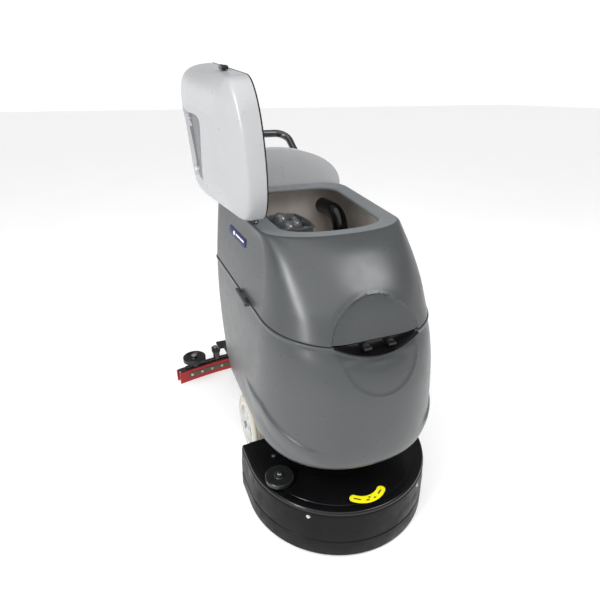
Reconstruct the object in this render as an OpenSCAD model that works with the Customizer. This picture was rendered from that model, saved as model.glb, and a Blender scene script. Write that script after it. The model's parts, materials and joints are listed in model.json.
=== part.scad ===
// Walk-behind floor scrubber with its tank lid open.
// Origin on the floor under the middle of the machine. The front faces -Y, the operator stands at +Y.
// Heights are from the floor; "back" means a distance behind the brush axis.

/* [Scrub deck] */
// Radius of the round scrub deck at its lower edge
deck_r = 275; // [270:1:280]
// Radius of the disc brush
brush_r = 226; // [220:1:227]
// Height of the top of the splash skirt
skirt_top = 151; // [148:1:153]

/* [Tanks] */
// Height of the seam between the two tanks, over the brush axis
seam_h = 640; // [638:1:642]
// Height of the recovery tank's rim, over the brush axis
rim_h = 834; // [830:1:838]
// Rise of the seam and the rim towards the back, in mm for each mm
rise = 0.071; // [0.06:0.001:0.08]
// Angle of the open lid from its closed position
lid_open = 95; // [90:1:96]

/* [Running gear] */
// Radius of a drive wheel
wheel_r = 100; // [98:1:101]
// Distance of the drive axle behind the brush axis
axle_back = 252; // [251:1:254]
// Radius of a caster wheel
caster_r = 38; // [36:1:38]

/* [Squeegee] */
// Radius of the curve that the squeegee follows
squeegee_r = 1406; // [1395:1:1410]
// Half of the angle that the squeegee blades span
squeegee_half = 15.5; // [15:0.1:15.7]

/* [Handle] */
// Radius of the handle tube
handle_r = 14; // [12:0.5:15]
// Half of the spacing of the handle's legs
handle_half = 166; // [160:1:168]

/* [Hidden] */
$fn = 48;
nose_y = -290;
gap = 0.3;
fit = 0.05;

body_grey = [0.36, 0.37, 0.38];
lid_grey = [0.66, 0.67, 0.69];
black = [0.05, 0.05, 0.05];
steel = [0.62, 0.63, 0.65];
red = [0.62, 0.06, 0.05];

// Lofted bodies ---------------------------------------------------------------------------

// One section: height, y of the nose's centre, nose depth, half-width at the nose, half-width at the
// back, distance of the back wall
nose_power = 2.25;
corner_r = 58;
nose_steps = 24;
corner_steps = 4;
function signed_power(v, p) = sign(v) * pow(abs(v), p);
function corner_pts(cx, cy, r, from) =
    [for (i = [0 : corner_steps]) [cx + r * cos(from + 90 * i / corner_steps),
                                   cy + r * sin(from + 90 * i / corner_steps)]];
function nose_pts(row) =
    [for (i = [0 : nose_steps]) let (a = 180 - 180 * i / nose_steps)
        [row[3] * signed_power(cos(a), 2 / nose_power),
         row[1] - row[2] * pow(sin(a) < 0 ? 0 : sin(a), 2 / nose_power)]];
function outline(row, r = corner_r) =
    concat(corner_pts(row[4] - r, row[5] - r, r, 0),
           corner_pts(-row[4] + r, row[5] - r, r, 90),
           nose_pts(row));
// The tanks' undersides slope down to the back, and their seam and rim slope up
under_h = 270;
under_rise = -0.05;
function slope(h) = h >= 630 ? rise : under_rise + (rise - under_rise) * max(0, h - under_h) / (630 - under_h);
function ring(row, r = corner_r) = [for (p = outline(row, r)) [p[0], p[1], row[0] + slope(row[0]) * p[1]]];

// A closed solid through a chain of rings that have the same number of points
module loft(rings) {
    n = len(rings[0]);
    last = len(rings) - 1;
    points = [for (one = rings) each one];
    sides = [for (k = [0 : last - 1], j = [0 : n - 1]) let (a = k * n + j, b = k * n + (j + 1) % n)
                each [[a, a + n, b + n], [a, b + n, b]]];
    bottom = [for (j = [0 : n - 1]) j];
    top = [for (j = [0 : n - 1]) last * n + n - 1 - j];
    polyhedron(points = points, faces = concat([bottom], sides, [top]), convexity = 8);
}

lower_outside = [[270, 0, 233, 224, 214, 292], [284, 0, 250, 243, 234, 345], [320, 0, 256, 249, 239, 388],
                 [400, 0, 258, 247, 240, 424], [460, 0, 257, 242, 240, 444], [520, 0, 253, 238, 240, 454],
                 [590, 0, 236, 232, 239, 457], [seam_h - 1, 0, 216, 226, 237, 457]];
lower_inside = [[seam_h - 1, 0, 207, 217, 228, 448], [590, 0, 227, 223, 230, 448], [520, 0, 244, 229, 231, 445],
                [400, 0, 249, 238, 231, 414], [320, 0, 246, 239, 229, 376], [288, 0, 236, 228, 216, 322]];
upper_outside = [[seam_h + 1, 0, 216, 226, 237, 457], [668, 0, 202, 220, 235, 457], [710, 0, 179, 213, 231, 457],
                 [749, 6, 150, 206, 227, 457], [787, 24, 125, 200, 223, 457], [814, 46, 112, 197, 220, 457],
                 [rim_h - 4, 62, 99, 199, 218, 457], [rim_h, 70, 98, 200, 215, 454]];
upper_inside = [[rim_h, 78, 67, 144, 158, 405], [rim_h - 9, 78, 67, 144, 158, 405],
                [rim_h - 14, 60, 90, 176, 198, 440], [770, 34, 118, 190, 214, 448],
                [710, 10, 168, 204, 222, 448], [656, 0, 190, 212, 227, 448]];

// The fill opening: an eye-shaped bay under the seam of the nose
bay_half = 115;
bay_sag = 30;
bay_r = (bay_half * bay_half + bay_sag * bay_sag) / (2 * bay_sag);
bay_back = 192;
module eye(inset = 0, top = 1.2) {
    intersection() {
        translate([0, bay_r - bay_sag]) circle(r = bay_r - inset, $fn = 160);
        translate([-bay_half, -bay_sag]) square([2 * bay_half, bay_sag + top]);
    }
}
module bay_prism(from, depth, inset = 0, top = 1.2) {
    translate([0, -from, 626]) rotate([90, 0, 0]) linear_extrude(depth) eye(inset, top);
}

// The hinge on which the recovery tank tips to its side, in three knuckles
tilt_x = -240;
tilt_r = 6;
tilt_pin_r = 3;
tilt_from = 62;
tilt_knuckle = 31;
module tilt_place(along) {
    translate([tilt_x, 0, seam_h]) rotate([rise_deg - 90, 0, 0]) translate([0, 0, tilt_from + along]) children();
}

module solution_tank() {
    color(body_grey) translate([0, nose_y, 0]) difference() {
        union() {
            loft([for (row = concat(lower_outside, lower_inside)) ring(row)]);
            translate([0, 0, 276]) cylinder(h = 116, r = motor_r + 22);
            tilt_place(0) cylinder(h = 3 * tilt_knuckle, r = tilt_pin_r);
            for (k = [0, 2]) tilt_place(k * tilt_knuckle) {
                cylinder(h = tilt_knuckle, r = tilt_r);
                translate([0, 1, 0]) cube([16, tilt_r - 1.5, tilt_knuckle]);
            }
        }
        translate([0, 0, 240]) cylinder(h = 146, r = motor_r + 16);
        bay_prism(bay_back - 8, 90);
    }
}

module recovery_tank() {
    color(body_grey) translate([0, nose_y, 0]) difference() {
        union() {
            loft([for (row = concat(upper_outside, upper_inside)) ring(row)]);
            translate([inlet_x, 452, inlet_z]) rotate([-90, 0, 0]) cylinder(h = 38, r = 21);
            translate([drain_x, 452, drain_z]) rotate([-90, 0, 0]) cylinder(h = 30, r = 17);
            lid_knuckles(tank_side = true);
            tilt_place(tilt_knuckle + gap) {
                cylinder(h = tilt_knuckle - 2 * gap, r = tilt_r);
                translate([0, -tilt_r + 0.5, 0]) cube([16, tilt_r - 1.5, tilt_knuckle - 2 * gap]);
            }
        }
        // the flat arch that the fill opening is cut back to
        translate([0, -201, 622]) rotate([-arch_lean, 0, 0]) translate([-160, -120, -40]) cube([320, 120, 300]);
        translate([inlet_x, 440, inlet_z]) rotate([-90, 0, 0]) cylinder(h = 60, r = 17);
        translate([drain_x, 440, drain_z]) rotate([-90, 0, 0]) cylinder(h = 60, r = 13);
        translate([elbow_x, 440, elbow_z]) rotate([-90, 0, 0]) cylinder(h = 30, r = elbow_r + 0.2);
        hinge_place() translate([0, -1, 0]) rotate([-90, 0, 0]) cylinder(h = 430, r = 4 + fit);
        tilt_place(tilt_knuckle - 1) cylinder(h = tilt_knuckle + 2, r = tilt_pin_r + fit);
    }
}
arch_lean = 22;
inlet_x = -180;
inlet_z = 745;
drain_x = -168;
drain_z = 692;
elbow_x = 150;
elbow_z = 792;
elbow_r = 25;

// Fill bay with the two filler necks
cap_x = [-30, 35];
module fill_bay() {
    color(black) translate([0, nose_y, 0]) difference() {
        intersection() {
            bay_prism(bay_back - 8 + gap, 60, 0.6, -0.8);
            translate([0, 125, 560]) cylinder(h = 90, r = 349, $fn = 180);
        }
        bay_prism(bay_back + 3, 60, 4);
        for (x = cap_x) translate([x, -180, 615]) rotate([90, 0, 0]) cylinder(h = 30, r = 4 + fit);
    }
}
module fill_cap(x) {
    color(black) translate([x, nose_y - bay_back - 4, 615]) rotate([90, 0, 0]) {
        cylinder(h = 10, r = 9);
        translate([-9.6, -2.5, 4]) cube([19.2, 5, 12]);
        translate([0, 0, -10.5]) cylinder(h = 11, r = 4);
    }
}
module left_fill_cap() { fill_cap(cap_x[0]); }
module right_fill_cap() { fill_cap(cap_x[1]); }

// Chassis ---------------------------------------------------------------------------------

plate_z = 205;
plate_t = 8;
motor_r = 60;
guide_x = 112;
guide_y = 84;
caster_x = 130;
caster_back = 470;
arm_back = 590;
arm_z = 130;
module chassis_frame() {
    color(black) translate([0, nose_y, 0]) difference() {
        union() {
            translate([-150, -40, plate_z]) cube([300, 560, plate_t]);
            translate([0, 0, plate_z]) cylinder(h = plate_t, r = 118);
            // longitudinal rails up to the tank, with their cross ties
            for (x = [-140, 134]) translate([x, 150, plate_z + plate_t]) cube([6, 230, 40]);
            // axle hangers
            for (x = [-158, 150]) translate([x, axle_back - 30, 72]) cube([8, 60, plate_z - 72]);
            for (x = [-158, 148]) translate([x, axle_back - 30, plate_z - 1]) cube([10, 60, 9]);
            // caster posts
            for (x = [-caster_x, caster_x]) translate([x - 24, caster_back - 24, 104]) cube([48, 48, plate_z - 103]);
            // rear bracket for the squeegee arm
            for (x = [-62, 54]) translate([x, 500, 105]) cube([8, 110, plate_z - 100]);
            translate([-62, 500, plate_z]) cube([124, 86, plate_t]);
            // pedal bracket
            translate([-172, 440, 170]) cube([48, 40, 30]);
        }
        translate([0, 0, plate_z - 1]) cylinder(h = plate_t + 2, r = motor_r + 14);
        for (x = [-guide_x, guide_x]) translate([x, guide_y, plate_z - 1]) cylinder(h = plate_t + 2, r = 8 + fit);
        for (x = [-caster_x, caster_x]) translate([x, caster_back, 100]) cylinder(h = 60, r = 6 + fit);
        translate([-180, axle_back, wheel_r]) rotate([0, 90, 0]) cylinder(h = 360, r = 22 + fit);
        translate([-80, arm_back, arm_z]) rotate([0, 90, 0]) cylinder(h = 160, r = 7 + fit);
        translate([-200, 460, 185]) rotate([0, 90, 0]) cylinder(h = 100, r = 5 + fit);
    }
}

module transaxle() {
    color(steel) translate([0, nose_y, 0]) difference() {
        union() {
            translate([-160, axle_back, wheel_r]) rotate([0, 90, 0]) cylinder(h = 320, r = 22);
            translate([-216, axle_back, wheel_r]) rotate([0, 90, 0]) cylinder(h = 432, r = 10);
            translate([-46, axle_back - 22, 70]) cube([92, 80, 66]);
            for (x = [-221, 216]) translate([x, axle_back, wheel_r]) rotate([0, 90, 0]) cylinder(h = 5, r = 14, $fn = 6);
        }
        for (x = [-30, 30]) translate([x, axle_back + 40, 60]) cylinder(h = 20, r = 4);
    }
}
module traction_motor() {
    color(black) translate([0, nose_y + axle_back + 58.2, wheel_r + 4]) rotate([-90, 0, 0]) {
        cylinder(h = 96, r = 38);
        translate([0, 0, 96]) cylinder(h = 8, r = 30);
        translate([-10, -44, 60]) cube([20, 10, 26]);
    }
}

module battery_tray() {
    color(black) translate([-180, nose_y + 82, 395]) difference() {
        union() {
            cube([360, 322, 40]);
            for (x = [32, 328], y = [36, 206]) translate([x, y, -111.2]) cylinder(h = 114, r = 12);
        }
        translate([4, 4, 5]) cube([352, 314, 60]);
        for (x = [60, 180, 300]) translate([x, 161, -1]) cylinder(h = 10, r = 8);
    }
}
module batteries() {
    color(black) for (y = [88, 246]) translate([0, nose_y + y, 400.4]) {
        translate([-168, 0, 0]) cube([336, 152, 196]);
        for (x = [-140, 140]) translate([x, 40, 196]) cylinder(h = 14, r = 8);
        for (x = [-75 : 50 : 75]) translate([x, 110, 196]) cylinder(h = 6, r = 13);
    }
}

// Rear column and what it holds -------------------------------------------------------------

column_x = [-110, 178];
column_back = 583;
module rear_column() {
    color(body_grey) translate([0, nose_y, 0]) {
        // shelf for the vacuum motor
        translate([column_x[0] + 4, 463, 438]) cube([column_x[1] - column_x[0] - 8, column_back - 467, 11.5]);
    }
    color(body_grey) translate([0, nose_y, 0]) difference() {
        translate([column_x[0], 459, plate_z + 9]) cube([column_x[1] - column_x[0], column_back - 459, cowl_low - plate_z - 9.5]);
        translate([column_x[0] + 5, 464, plate_z + 14]) cube([column_x[1] - column_x[0] - 10, column_back - 469, 640]);
        translate([elbow_x, 450, elbow_z]) rotate([-90, 0, 0]) cylinder(h = 20, r = elbow_r + 0.2);
        for (i = [0 : 6]) translate([-20 + i * 14, column_back - 8, 560]) cube([6, 20, 90]);
        translate([lever_x, column_back - 10, lever_z]) rotate([-90, 0, 0]) cylinder(h = 20, r = 6);
        for (z = [730, 760]) translate([70, column_back - 10, z]) rotate([-90, 0, 0]) cylinder(h = 20, r = 7.2);
    }
}
module vacuum_motor() {
    color(steel) translate([96, nose_y + 522, 500]) {
        cylinder(h = 60, r = 52);
        translate([0, 0, 60]) cylinder(h = 80, r = 40);
        translate([0, 0, -50]) cylinder(h = 50, r = 44);
        // intake duct up to the tank's port
        translate([40, 0, 60]) cylinder(h = 240, r = 18);
        translate([54, 0, elbow_z - 500]) rotate([90, 0, 0]) cylinder(h = 63.4, r = 20);
    }
}
module circuit_breakers() {
    color(black) for (z = [730, 760]) translate([70, nose_y + column_back - 20, z]) rotate([-90, 0, 0]) {
        cylinder(h = 22, r = 7);
        translate([0, 0, 20.3]) cylinder(h = 3, r = 10);
        translate([0, 0, 23]) cylinder(h = 4, r = 4);
    }
}

// A hose swept along a smooth route -------------------------------------------------------

function bezier(p, t) = let (u = 1 - t)
    u * u * u * p[0] + 3 * u * u * t * p[1] + 3 * u * t * t * p[2] + t * t * t * p[3];
function unit(v) = v / norm(v);
// A tube's rings, each square to the route, with one side kept along the given direction
function sweep_rings(path, r, side, count) =
    [for (i = [0 : len(path) - 1])
        let (t = unit(path[min(i + 1, len(path) - 1)] - path[max(i - 1, 0)]),
             a = unit(cross(side, t)), b = cross(t, a))
        [for (j = [0 : count - 1]) path[i] + r * (a * cos(360 * j / count) + b * sin(360 * j / count))]];
suction_route = [[inlet_x, 494, inlet_z], [inlet_x, 640, inlet_z], [0, 797, 330], [0, 797, 115]];
drain_route = [[drain_x, 486, drain_z], [drain_x, 540, drain_z], [drain_x + 10, 528, 560], [drain_x + 14, 522, 330]];
module hose(route, r, steps) {
    loft(sweep_rings([for (i = [0 : steps]) bezier(route, i / steps)], r, [1, 0.2, 0], 12));
}
module suction_hose() {
    color(black) translate([0, nose_y, 0]) hose(suction_route, 21, 16);
}
module drain_hose() {
    color(black) translate([0, nose_y, 0]) {
        hose(drain_route, 16, 12);
        translate(drain_route[3] - [0, 0, 11]) cylinder(h = 13, r = 13);
        // bracket that holds the hose to the column
        translate([drain_x + 12, 505, 420]) cube([column_x[0] - drain_x - 12.4, 30, 14]);
    }
}
module drain_cap() {
    color(black) translate(drain_route[3] + [0, nose_y, -14]) difference() {
        union() {
            cylinder(h = 11.5, r = 19);
            for (a = [0 : 45 : 315]) rotate([0, 0, a]) translate([18, -2, 0]) cube([3, 4, 11.5]);
        }
        translate([0, 0, 2.4]) cylinder(h = 20, r = 13 + fit);
    }
}

// Console ---------------------------------------------------------------------------------

cowl_half = 223;
cowl_low = 841;
cowl_rise = 112;
cowl_power = 2.1;
panel_tilt = 30.5;
panel_y = 634;
panel_z = 933;
module cowl_arch(inset = 0) {
    polygon(concat([for (i = [0 : 36]) let (a = 180 * i / 36)
                        [(cowl_half - inset) * signed_power(cos(a), 2 / cowl_power),
                         865 + (cowl_rise - inset) * pow(sin(a) < 0 ? 0 : sin(a), 2 / cowl_power)]],
                   [[-cowl_half + inset, cowl_low - inset * 2], [cowl_half - inset, cowl_low - inset * 2]]));
}
module cowl_solid(inset = 0) {
    slope_y = panel_y - 74;
    intersection() {
        translate([0, 700, 0]) rotate([90, 0, 0]) linear_extrude(300) cowl_arch(inset);
        translate([-300, 0, 0]) rotate([90, 0, 90]) linear_extrude(600)
            polygon([[460 + inset, cowl_low - inset * 2], [463 + inset, 868], [496 + inset, 990],
                     [slope_y - 40, 990], [slope_y - 8 - inset / 2, 980 - inset],
                     [690 - inset, 900 - inset * 1.16], [690 - inset, cowl_low - inset * 2]]);
    }
}
module on_panel(u, v) {
    translate([0, nose_y + panel_y, panel_z]) rotate([-panel_tilt, 0, 0]) translate([u, v, 0]) children();
}
module console_cowl() {
    color(lid_grey) difference() {
        translate([0, nose_y, 0]) difference() {
            cowl_solid();
            cowl_solid(5);
        }
        on_panel(0, 0) translate([-104, -36, -20]) cube([208, 72, 60]);
    }
}

// Control panel plate and the parts that sit in it
button_u = [-66, -34, -2];
button_v = 14;
key_u = 36;
knob_u = 76;
module panel_hole(u, v, r) {
    translate([u, v, -30]) cylinder(h = 60, r = r);
}
module control_panel() {
    color(black) on_panel(0, 0) difference() {
        union() {
            translate([-112, -44, 1.2]) cube([224, 88, 3.5]);
            translate([-102, -34, -9]) cube([204, 68, 10.5]);
        }
        for (u = button_u) panel_hole(u, button_v, 8.3);
        panel_hole(key_u, button_v, 7 + fit);
        panel_hole(knob_u, 0, 5 + fit);
        translate([-84, -26, -20]) cube([90, 24, 60]);
    }
}
module battery_gauge() {
    color("darkgreen") on_panel(0, 0) translate([-83.6, -25.6, -4]) cube([89.2, 23.2, 8]);
}
module button(u) {
    color(black) on_panel(u, button_v) translate([0, 0, -6]) {
        cylinder(h = 16, r = 8);
        translate([0, 0, -6]) cylinder(h = 7, r = 5);
    }
}
module brush_button() { button(button_u[0]); }
module vacuum_button() { button(button_u[1]); }
module solution_button() { button(button_u[2]); }
module key() {
    color(steel) on_panel(key_u, button_v) {
        translate([0, 0, -16]) cylinder(h = 22, r = 7);
        translate([-1.2, -4, 5]) cube([2.4, 8, 16]);
        translate([-1.2, -11, 19]) cube([2.4, 22, 18]);
    }
}
module speed_knob() {
    color(black) on_panel(knob_u, 0) {
        translate([0, 0, -18]) cylinder(h = 25, r = 5);
        translate([0, 0, 5.2]) cylinder(h = 14, r = 17);
        translate([-1.5, -17, 18]) cube([3, 15, 3]);
    }
}

// Handle ------------------------------------------------------------------------------------

handle_tilt = 31.5;
bend_r = 48;
handle_root = [0, 652, 880];
leg_len = 173;
bail_s = 60;
module handle_frame() {
    translate([0, nose_y, 0]) translate(handle_root) rotate([handle_tilt, 0, 0]) children();
}
module u_tube(half, from, leg, r, bend) {
    for (s = [-1, 1]) {
        translate([s * half, from, 0]) rotate([-90, 0, 0]) cylinder(h = leg - from, r = r);
        translate([s * (half - bend), leg, 0]) rotate([0, 0, s > 0 ? 0 : 90])
            rotate_extrude(angle = 90) translate([bend, 0]) circle(r = r);
    }
    translate([-half + bend, leg + bend, 0]) rotate([0, 90, 0]) cylinder(h = 2 * (half - bend), r = r);
}
module handle_bar() {
    color(black) handle_frame() {
        u_tube(handle_half, -48, leg_len, handle_r, bend_r);
        for (s = [-1, 1]) {
            translate([s * (handle_half - 18), bail_s, -18]) rotate([0, 90, 0]) cylinder(h = 32, r = 4, center = true);
            translate([s * (handle_half - 8), bail_s, -12]) cube([8, 16, 18], center = true);
        }
    }
}
module drive_bail() {
    color(black) handle_frame() translate([0, bail_s, -18]) difference() {
        union() {
            u_tube(handle_half - 24, 6, 55, 5, 24);
            for (s = [-1, 1]) translate([s * (handle_half - 24), 0, 0]) rotate([0, 90, 0])
                cylinder(h = 14, r = 9, center = true);
        }
        rotate([0, 90, 0]) cylinder(h = 420, r = 4 + fit, center = true);
    }
}

// Inside the recovery tank --------------------------------------------------------------

module vacuum_elbow() {
    color(black) translate([elbow_x, nose_y + 300, elbow_z]) {
        translate([0, 60, 0]) rotate([-90, 0, 0]) difference() {
            cylinder(h = 97, r = elbow_r);
            translate([0, 0, -1]) cylinder(h = 99, r = elbow_r - 3);
        }
        translate([0, 60, -60]) rotate([180, -90, 0]) difference() {
            rotate_extrude(angle = 90) translate([60, 0]) circle(r = elbow_r);
            rotate_extrude(angle = 90) translate([60, 0]) circle(r = elbow_r - 3);
        }
        translate([0, 0, -66]) difference() {
            cylinder(h = 8, r = elbow_r + 6);
            translate([0, 0, -1]) cylinder(h = 10, r = seat_r);
        }
    }
}
// Bore that the float closes
seat_r = 14;
cage_top = 725.8;
module float_cage() {
    color(black) translate([elbow_x, nose_y + 300, 0]) difference() {
        translate([0, 0, 681]) cylinder(h = cage_top - 681, r = 30);
        translate([0, 0, 684]) cylinder(h = 60, r = 27);
        for (a = [0 : 30 : 150]) rotate([0, 0, a]) translate([-40, -4, 688]) cube([80, 8, 28]);
    }
}
module float_ball() {
    color("white") translate([elbow_x, nose_y + 300, 684.4 + 17]) sphere(r = 17);
}
tray_x = -26;
tray_z = 722;
module debris_tray() {
    color([0.45, 0.46, 0.47]) translate([tray_x, nose_y + 306, tray_z]) difference() {
        union() {
            translate([-66, -100, 0]) cube([132, 200, 64]);
            translate([-70, -104, 60]) cube([140, 208, 5]);
            for (x = [-62, 52]) {
                translate([x, -96, -49.5]) cube([10, 12, 52]);
                translate([x, 84, -36.5]) cube([10, 12, 39]);
            }
        }
        translate([-62, -96, 4]) cube([124, 192, 70]);
        for (x = [-40 : 20 : 40], y = [-70 : 28 : 70]) translate([x, y, -1]) cylinder(h = 8, r = 5, $fn = 16);
    }
}

// Lid, drawn closed on the rim and then turned open about its hinge -----------------------

hinge_x = -190;
hinge_up = 7;
hinge_len = 300;
rise_deg = atan(rise);
module hinge_place() {
    translate([hinge_x, 90, rim_h + rise * 90 + hinge_up]) rotate([rise_deg, 0, 0]) children();
}
module lid_turn(angle) {
    translate([0, nose_y, 0]) hinge_turn(angle) children();
}
module hinge_turn(angle) {
    axis_z = rim_h + hinge_up;
    translate([hinge_x, 0, axis_z]) rotate([rise_deg, 0, 0]) rotate([0, -angle, 0]) rotate([-rise_deg, 0, 0])
        translate([-hinge_x, 0, -axis_z]) children();
}
knuckle = 30;
module lid_knuckles(tank_side) {
    for (k = [0, 3]) for (part = [0 : 2]) if ((part == 1) == tank_side)
        hinge_place() translate([0, 20 + k * 70 + part * (knuckle + gap), 0]) {
            rotate([-90, 0, 0]) cylinder(h = knuckle, r = tank_side ? 7 : 6.5);
            if (tank_side) translate([-6, 0, -12]) cube([12, knuckle, 12]);
        }
}
// The lid sits a little towards its hinge
lid_shift = -8;
function lid_ring(k, y0, f, wf, wr, back) =
    [for (p = outline([0, y0, f, wf, wr, back], 44)) [p[0] + lid_shift, p[1], rim_h + k + rise * p[1]]];
lid_outside = [lid_ring(4.5, 78, 88, 160, 172, 424), lid_ring(34, 78, 88, 160, 172, 424),
               lid_ring(62, 78, 84, 156, 168, 420), lid_ring(86, 80, 73, 143, 155, 408),
               lid_ring(100, 84, 54, 120, 132, 386), lid_ring(107, 92, 26, 82, 94, 350)];
lid_inside = [lid_ring(101, 92, 23, 77, 89, 345), lid_ring(94, 84, 49, 114, 126, 380),
              lid_ring(81, 80, 67, 137, 149, 402), lid_ring(60, 78, 78, 150, 162, 414),
              lid_ring(34, 78, 82, 154, 166, 418), lid_ring(4.5, 78, 82, 154, 166, 418)];
module lid() {
    color(lid_grey) lid_turn(lid_open) difference() {
        union() {
            // the chain runs up the outside, over the crown and down the inside
            loft_closed(concat(lid_outside, lid_inside));
            lid_knuckles(tank_side = false);
            for (k = [0, 3], part = [0, 2])
                hinge_place() translate([0, 20 + k * 70 + part * (knuckle + gap), -2.4])
                    cube([28, knuckle, 8]);
        }
        hinge_place() translate([0, -1, 0]) rotate([-90, 0, 0]) cylinder(h = 400, r = 4 + fit);
    }
}
// A ring-shaped solid through a closed chain of rings; the two crown rings are joined by caps
module loft_closed(rings) {
    n = len(rings[0]);
    count = len(rings);
    half = count / 2;
    points = [for (one = rings) each one];
    walls = [for (k = [0 : count - 1], j = [0 : n - 1]) if (k != half - 1)
                let (a = k * n + j, b = k * n + (j + 1) % n, up = ((k + 1) % count) * n - k * n)
                each [[a, a + up, b + up], [a, b + up, b]]];
    crown = [for (j = [0 : n - 1]) (half - 1) * n + n - 1 - j];
    ceiling = [for (j = [0 : n - 1]) half * n + j];
    polyhedron(points = points, faces = concat([crown], walls, [ceiling]), convexity = 8);
}
gasket_rings = [lid_ring(1, 78, 87, 159, 171, 423), lid_ring(4.2, 78, 87, 159, 171, 423),
                lid_ring(4.2, 78, 79, 151, 163, 415), lid_ring(1, 78, 79, 151, 163, 415)];
module lid_gasket() {
    color(black) lid_turn(lid_open) {
        n = len(gasket_rings[0]);
        polyhedron(points = [for (one = gasket_rings) each one],
                   faces = [for (k = [0 : 3], j = [0 : n - 1])
                               let (a = k * n + j, b = k * n + (j + 1) % n, up = ((k + 1) % 4) * n - k * n)
                               each [[a, a + up, b + up], [a, b + up, b]]],
                   convexity = 8);
    }
}
module lid_hinge_pins() {
    color(steel) translate([0, nose_y, 0]) for (k = [0, 3])
        hinge_place() translate([0, 19 + k * 70, 0]) rotate([-90, 0, 0]) cylinder(h = 3 * knuckle + 3, r = 4);
}

// Scrub deck --------------------------------------------------------------------------------

side_back = 88;
module around_deck(back = side_back) {
    rotate([0, 0, 180]) rotate_extrude(angle = 180, $fn = 180) children();
    for (m = [0, 1]) mirror([m, 0, 0]) translate([0, back, 0]) rotate([90, 0, 0]) linear_extrude(back) children();
}
module deck_shell() {
    color(black) translate([0, nose_y, 0]) difference() {
        union() {
            around_deck() polygon([[0, 160], [262, 156.5], [265.6, 154], [265.6, skirt_top + 0.4],
                                   [270, skirt_top + 0.4], [270, 155], [264, 161], [0, 165]]);
            // tail between the wheels
            translate([-146, side_back - 1, 160]) cube([292, 122, 5]);
            for (x = [-146, 142]) translate([x, side_back - 1, 120]) cube([4, 122, 42]);
            translate([-146, side_back + 117, 120]) cube([292, 4, 42]);
            // boss under the side roller
            translate([roller_x, roller_y, 158]) cylinder(h = 8, r = 14);
        }
        translate([0, 0, 150]) cylinder(h = 30, r = 24);
        translate([roller_x, roller_y, 150]) cylinder(h = 20, r = 5);
        for (x = [-guide_x, guide_x]) translate([x, guide_y, 150]) cylinder(h = 20, r = 5);
    }
}
module deck_skirt() {
    color(black) translate([0, nose_y, 0]) difference() {
        around_deck() polygon([[deck_r - 5, 8], [deck_r, 8], [deck_r - 1, 100], [271, skirt_top - 4],
                               [269, skirt_top], [259, skirt_top], [259, skirt_top - 5], [265, skirt_top - 5],
                               [deck_r - 6, 100]]);
        for (a = bolt_angles) rotate([0, 0, a]) translate([240, 0, 138]) rotate([0, 90, 0]) cylinder(h = 60, r = 3.2);
    }
}
bolt_angles = [-170, -142, -110, -70, -38, -10];
roller_x = -210;
roller_y = -86;
module deck_bolts() {
    color(steel) translate([0, nose_y, 0]) {
        for (a = bolt_angles) rotate([0, 0, a]) translate([262, 0, 138]) rotate([0, 90, 0]) {
            cylinder(h = 11, r = 3);
            translate([0, 0, 10.5]) cylinder(h = 4, r = 6);
        }
        translate([roller_x, roller_y, 151]) cylinder(h = 33, r = 4.95);
        translate([roller_x, roller_y, 184]) cylinder(h = 5, r = 9, $fn = 6);
    }
}
module deck_roller() {
    color(black) translate([roller_x, nose_y + roller_y, 166.5]) difference() {
        union() {
            cylinder(h = 14, r = 40);
            translate([0, 0, 14]) cylinder(h = 2.5, r = 14);
        }
        translate([0, 0, -1]) cylinder(h = 30, r = 5);
    }
}
module deck_guides() {
    color(steel) translate([0, nose_y, 0]) for (x = [-guide_x, guide_x]) translate([x, guide_y, 0]) {
        translate([0, 0, 165.2]) cylinder(h = 56, r = 8);
        translate([0, 0, 158]) cylinder(h = 8, r = 4.95);
        translate([0, 0, 165.2]) cylinder(h = 3.5, r = 16);
    }
}
// Motor with its gearbox, whose neck passes through the shell
module brush_motor() {
    color(black) translate([0, nose_y, 0]) {
        translate([0, 0, 140]) cylinder(h = 26, r = 23);
        translate([0, 0, 165.2]) cylinder(h = 36.2, r = motor_r - 2);
        translate([0, 0, 201.4]) cylinder(h = 120, r = motor_r);
        translate([0, 0, 321.4]) cylinder(h = 12, r = motor_r - 14);
        translate([-18, -motor_r - 8, 271]) cube([36, 20, 34]);
    }
}
module drive_hub() {
    color(steel) translate([0, nose_y, 0]) {
        translate([0, 0, 46]) cylinder(h = 10, r = 60);
        translate([0, 0, 56]) cylinder(h = 83.7, r = 22);
        for (a = [0 : 120 : 240]) rotate([0, 0, a]) translate([42, 0, 28]) cylinder(h = 20, r = 7);
    }
}
module brush_block() {
    color("beige") translate([0, nose_y, 27]) difference() {
        cylinder(h = 18.6, r = brush_r, $fn = 96);
        translate([0, 0, -1]) cylinder(h = 30, r = 30);
        for (a = [0 : 120 : 240]) rotate([0, 0, a]) translate([42, 0, -1]) cylinder(h = 30, r = 7.2);
    }
}
module brush_bristles() {
    color("royalblue") translate([0, nose_y, 0]) difference() {
        cylinder(h = 26.8, r = brush_r - 2, $fn = 96);
        translate([0, 0, -1]) cylinder(h = 30, r = 70);
    }
}

// Wheels --------------------------------------------------------------------------------------

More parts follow.
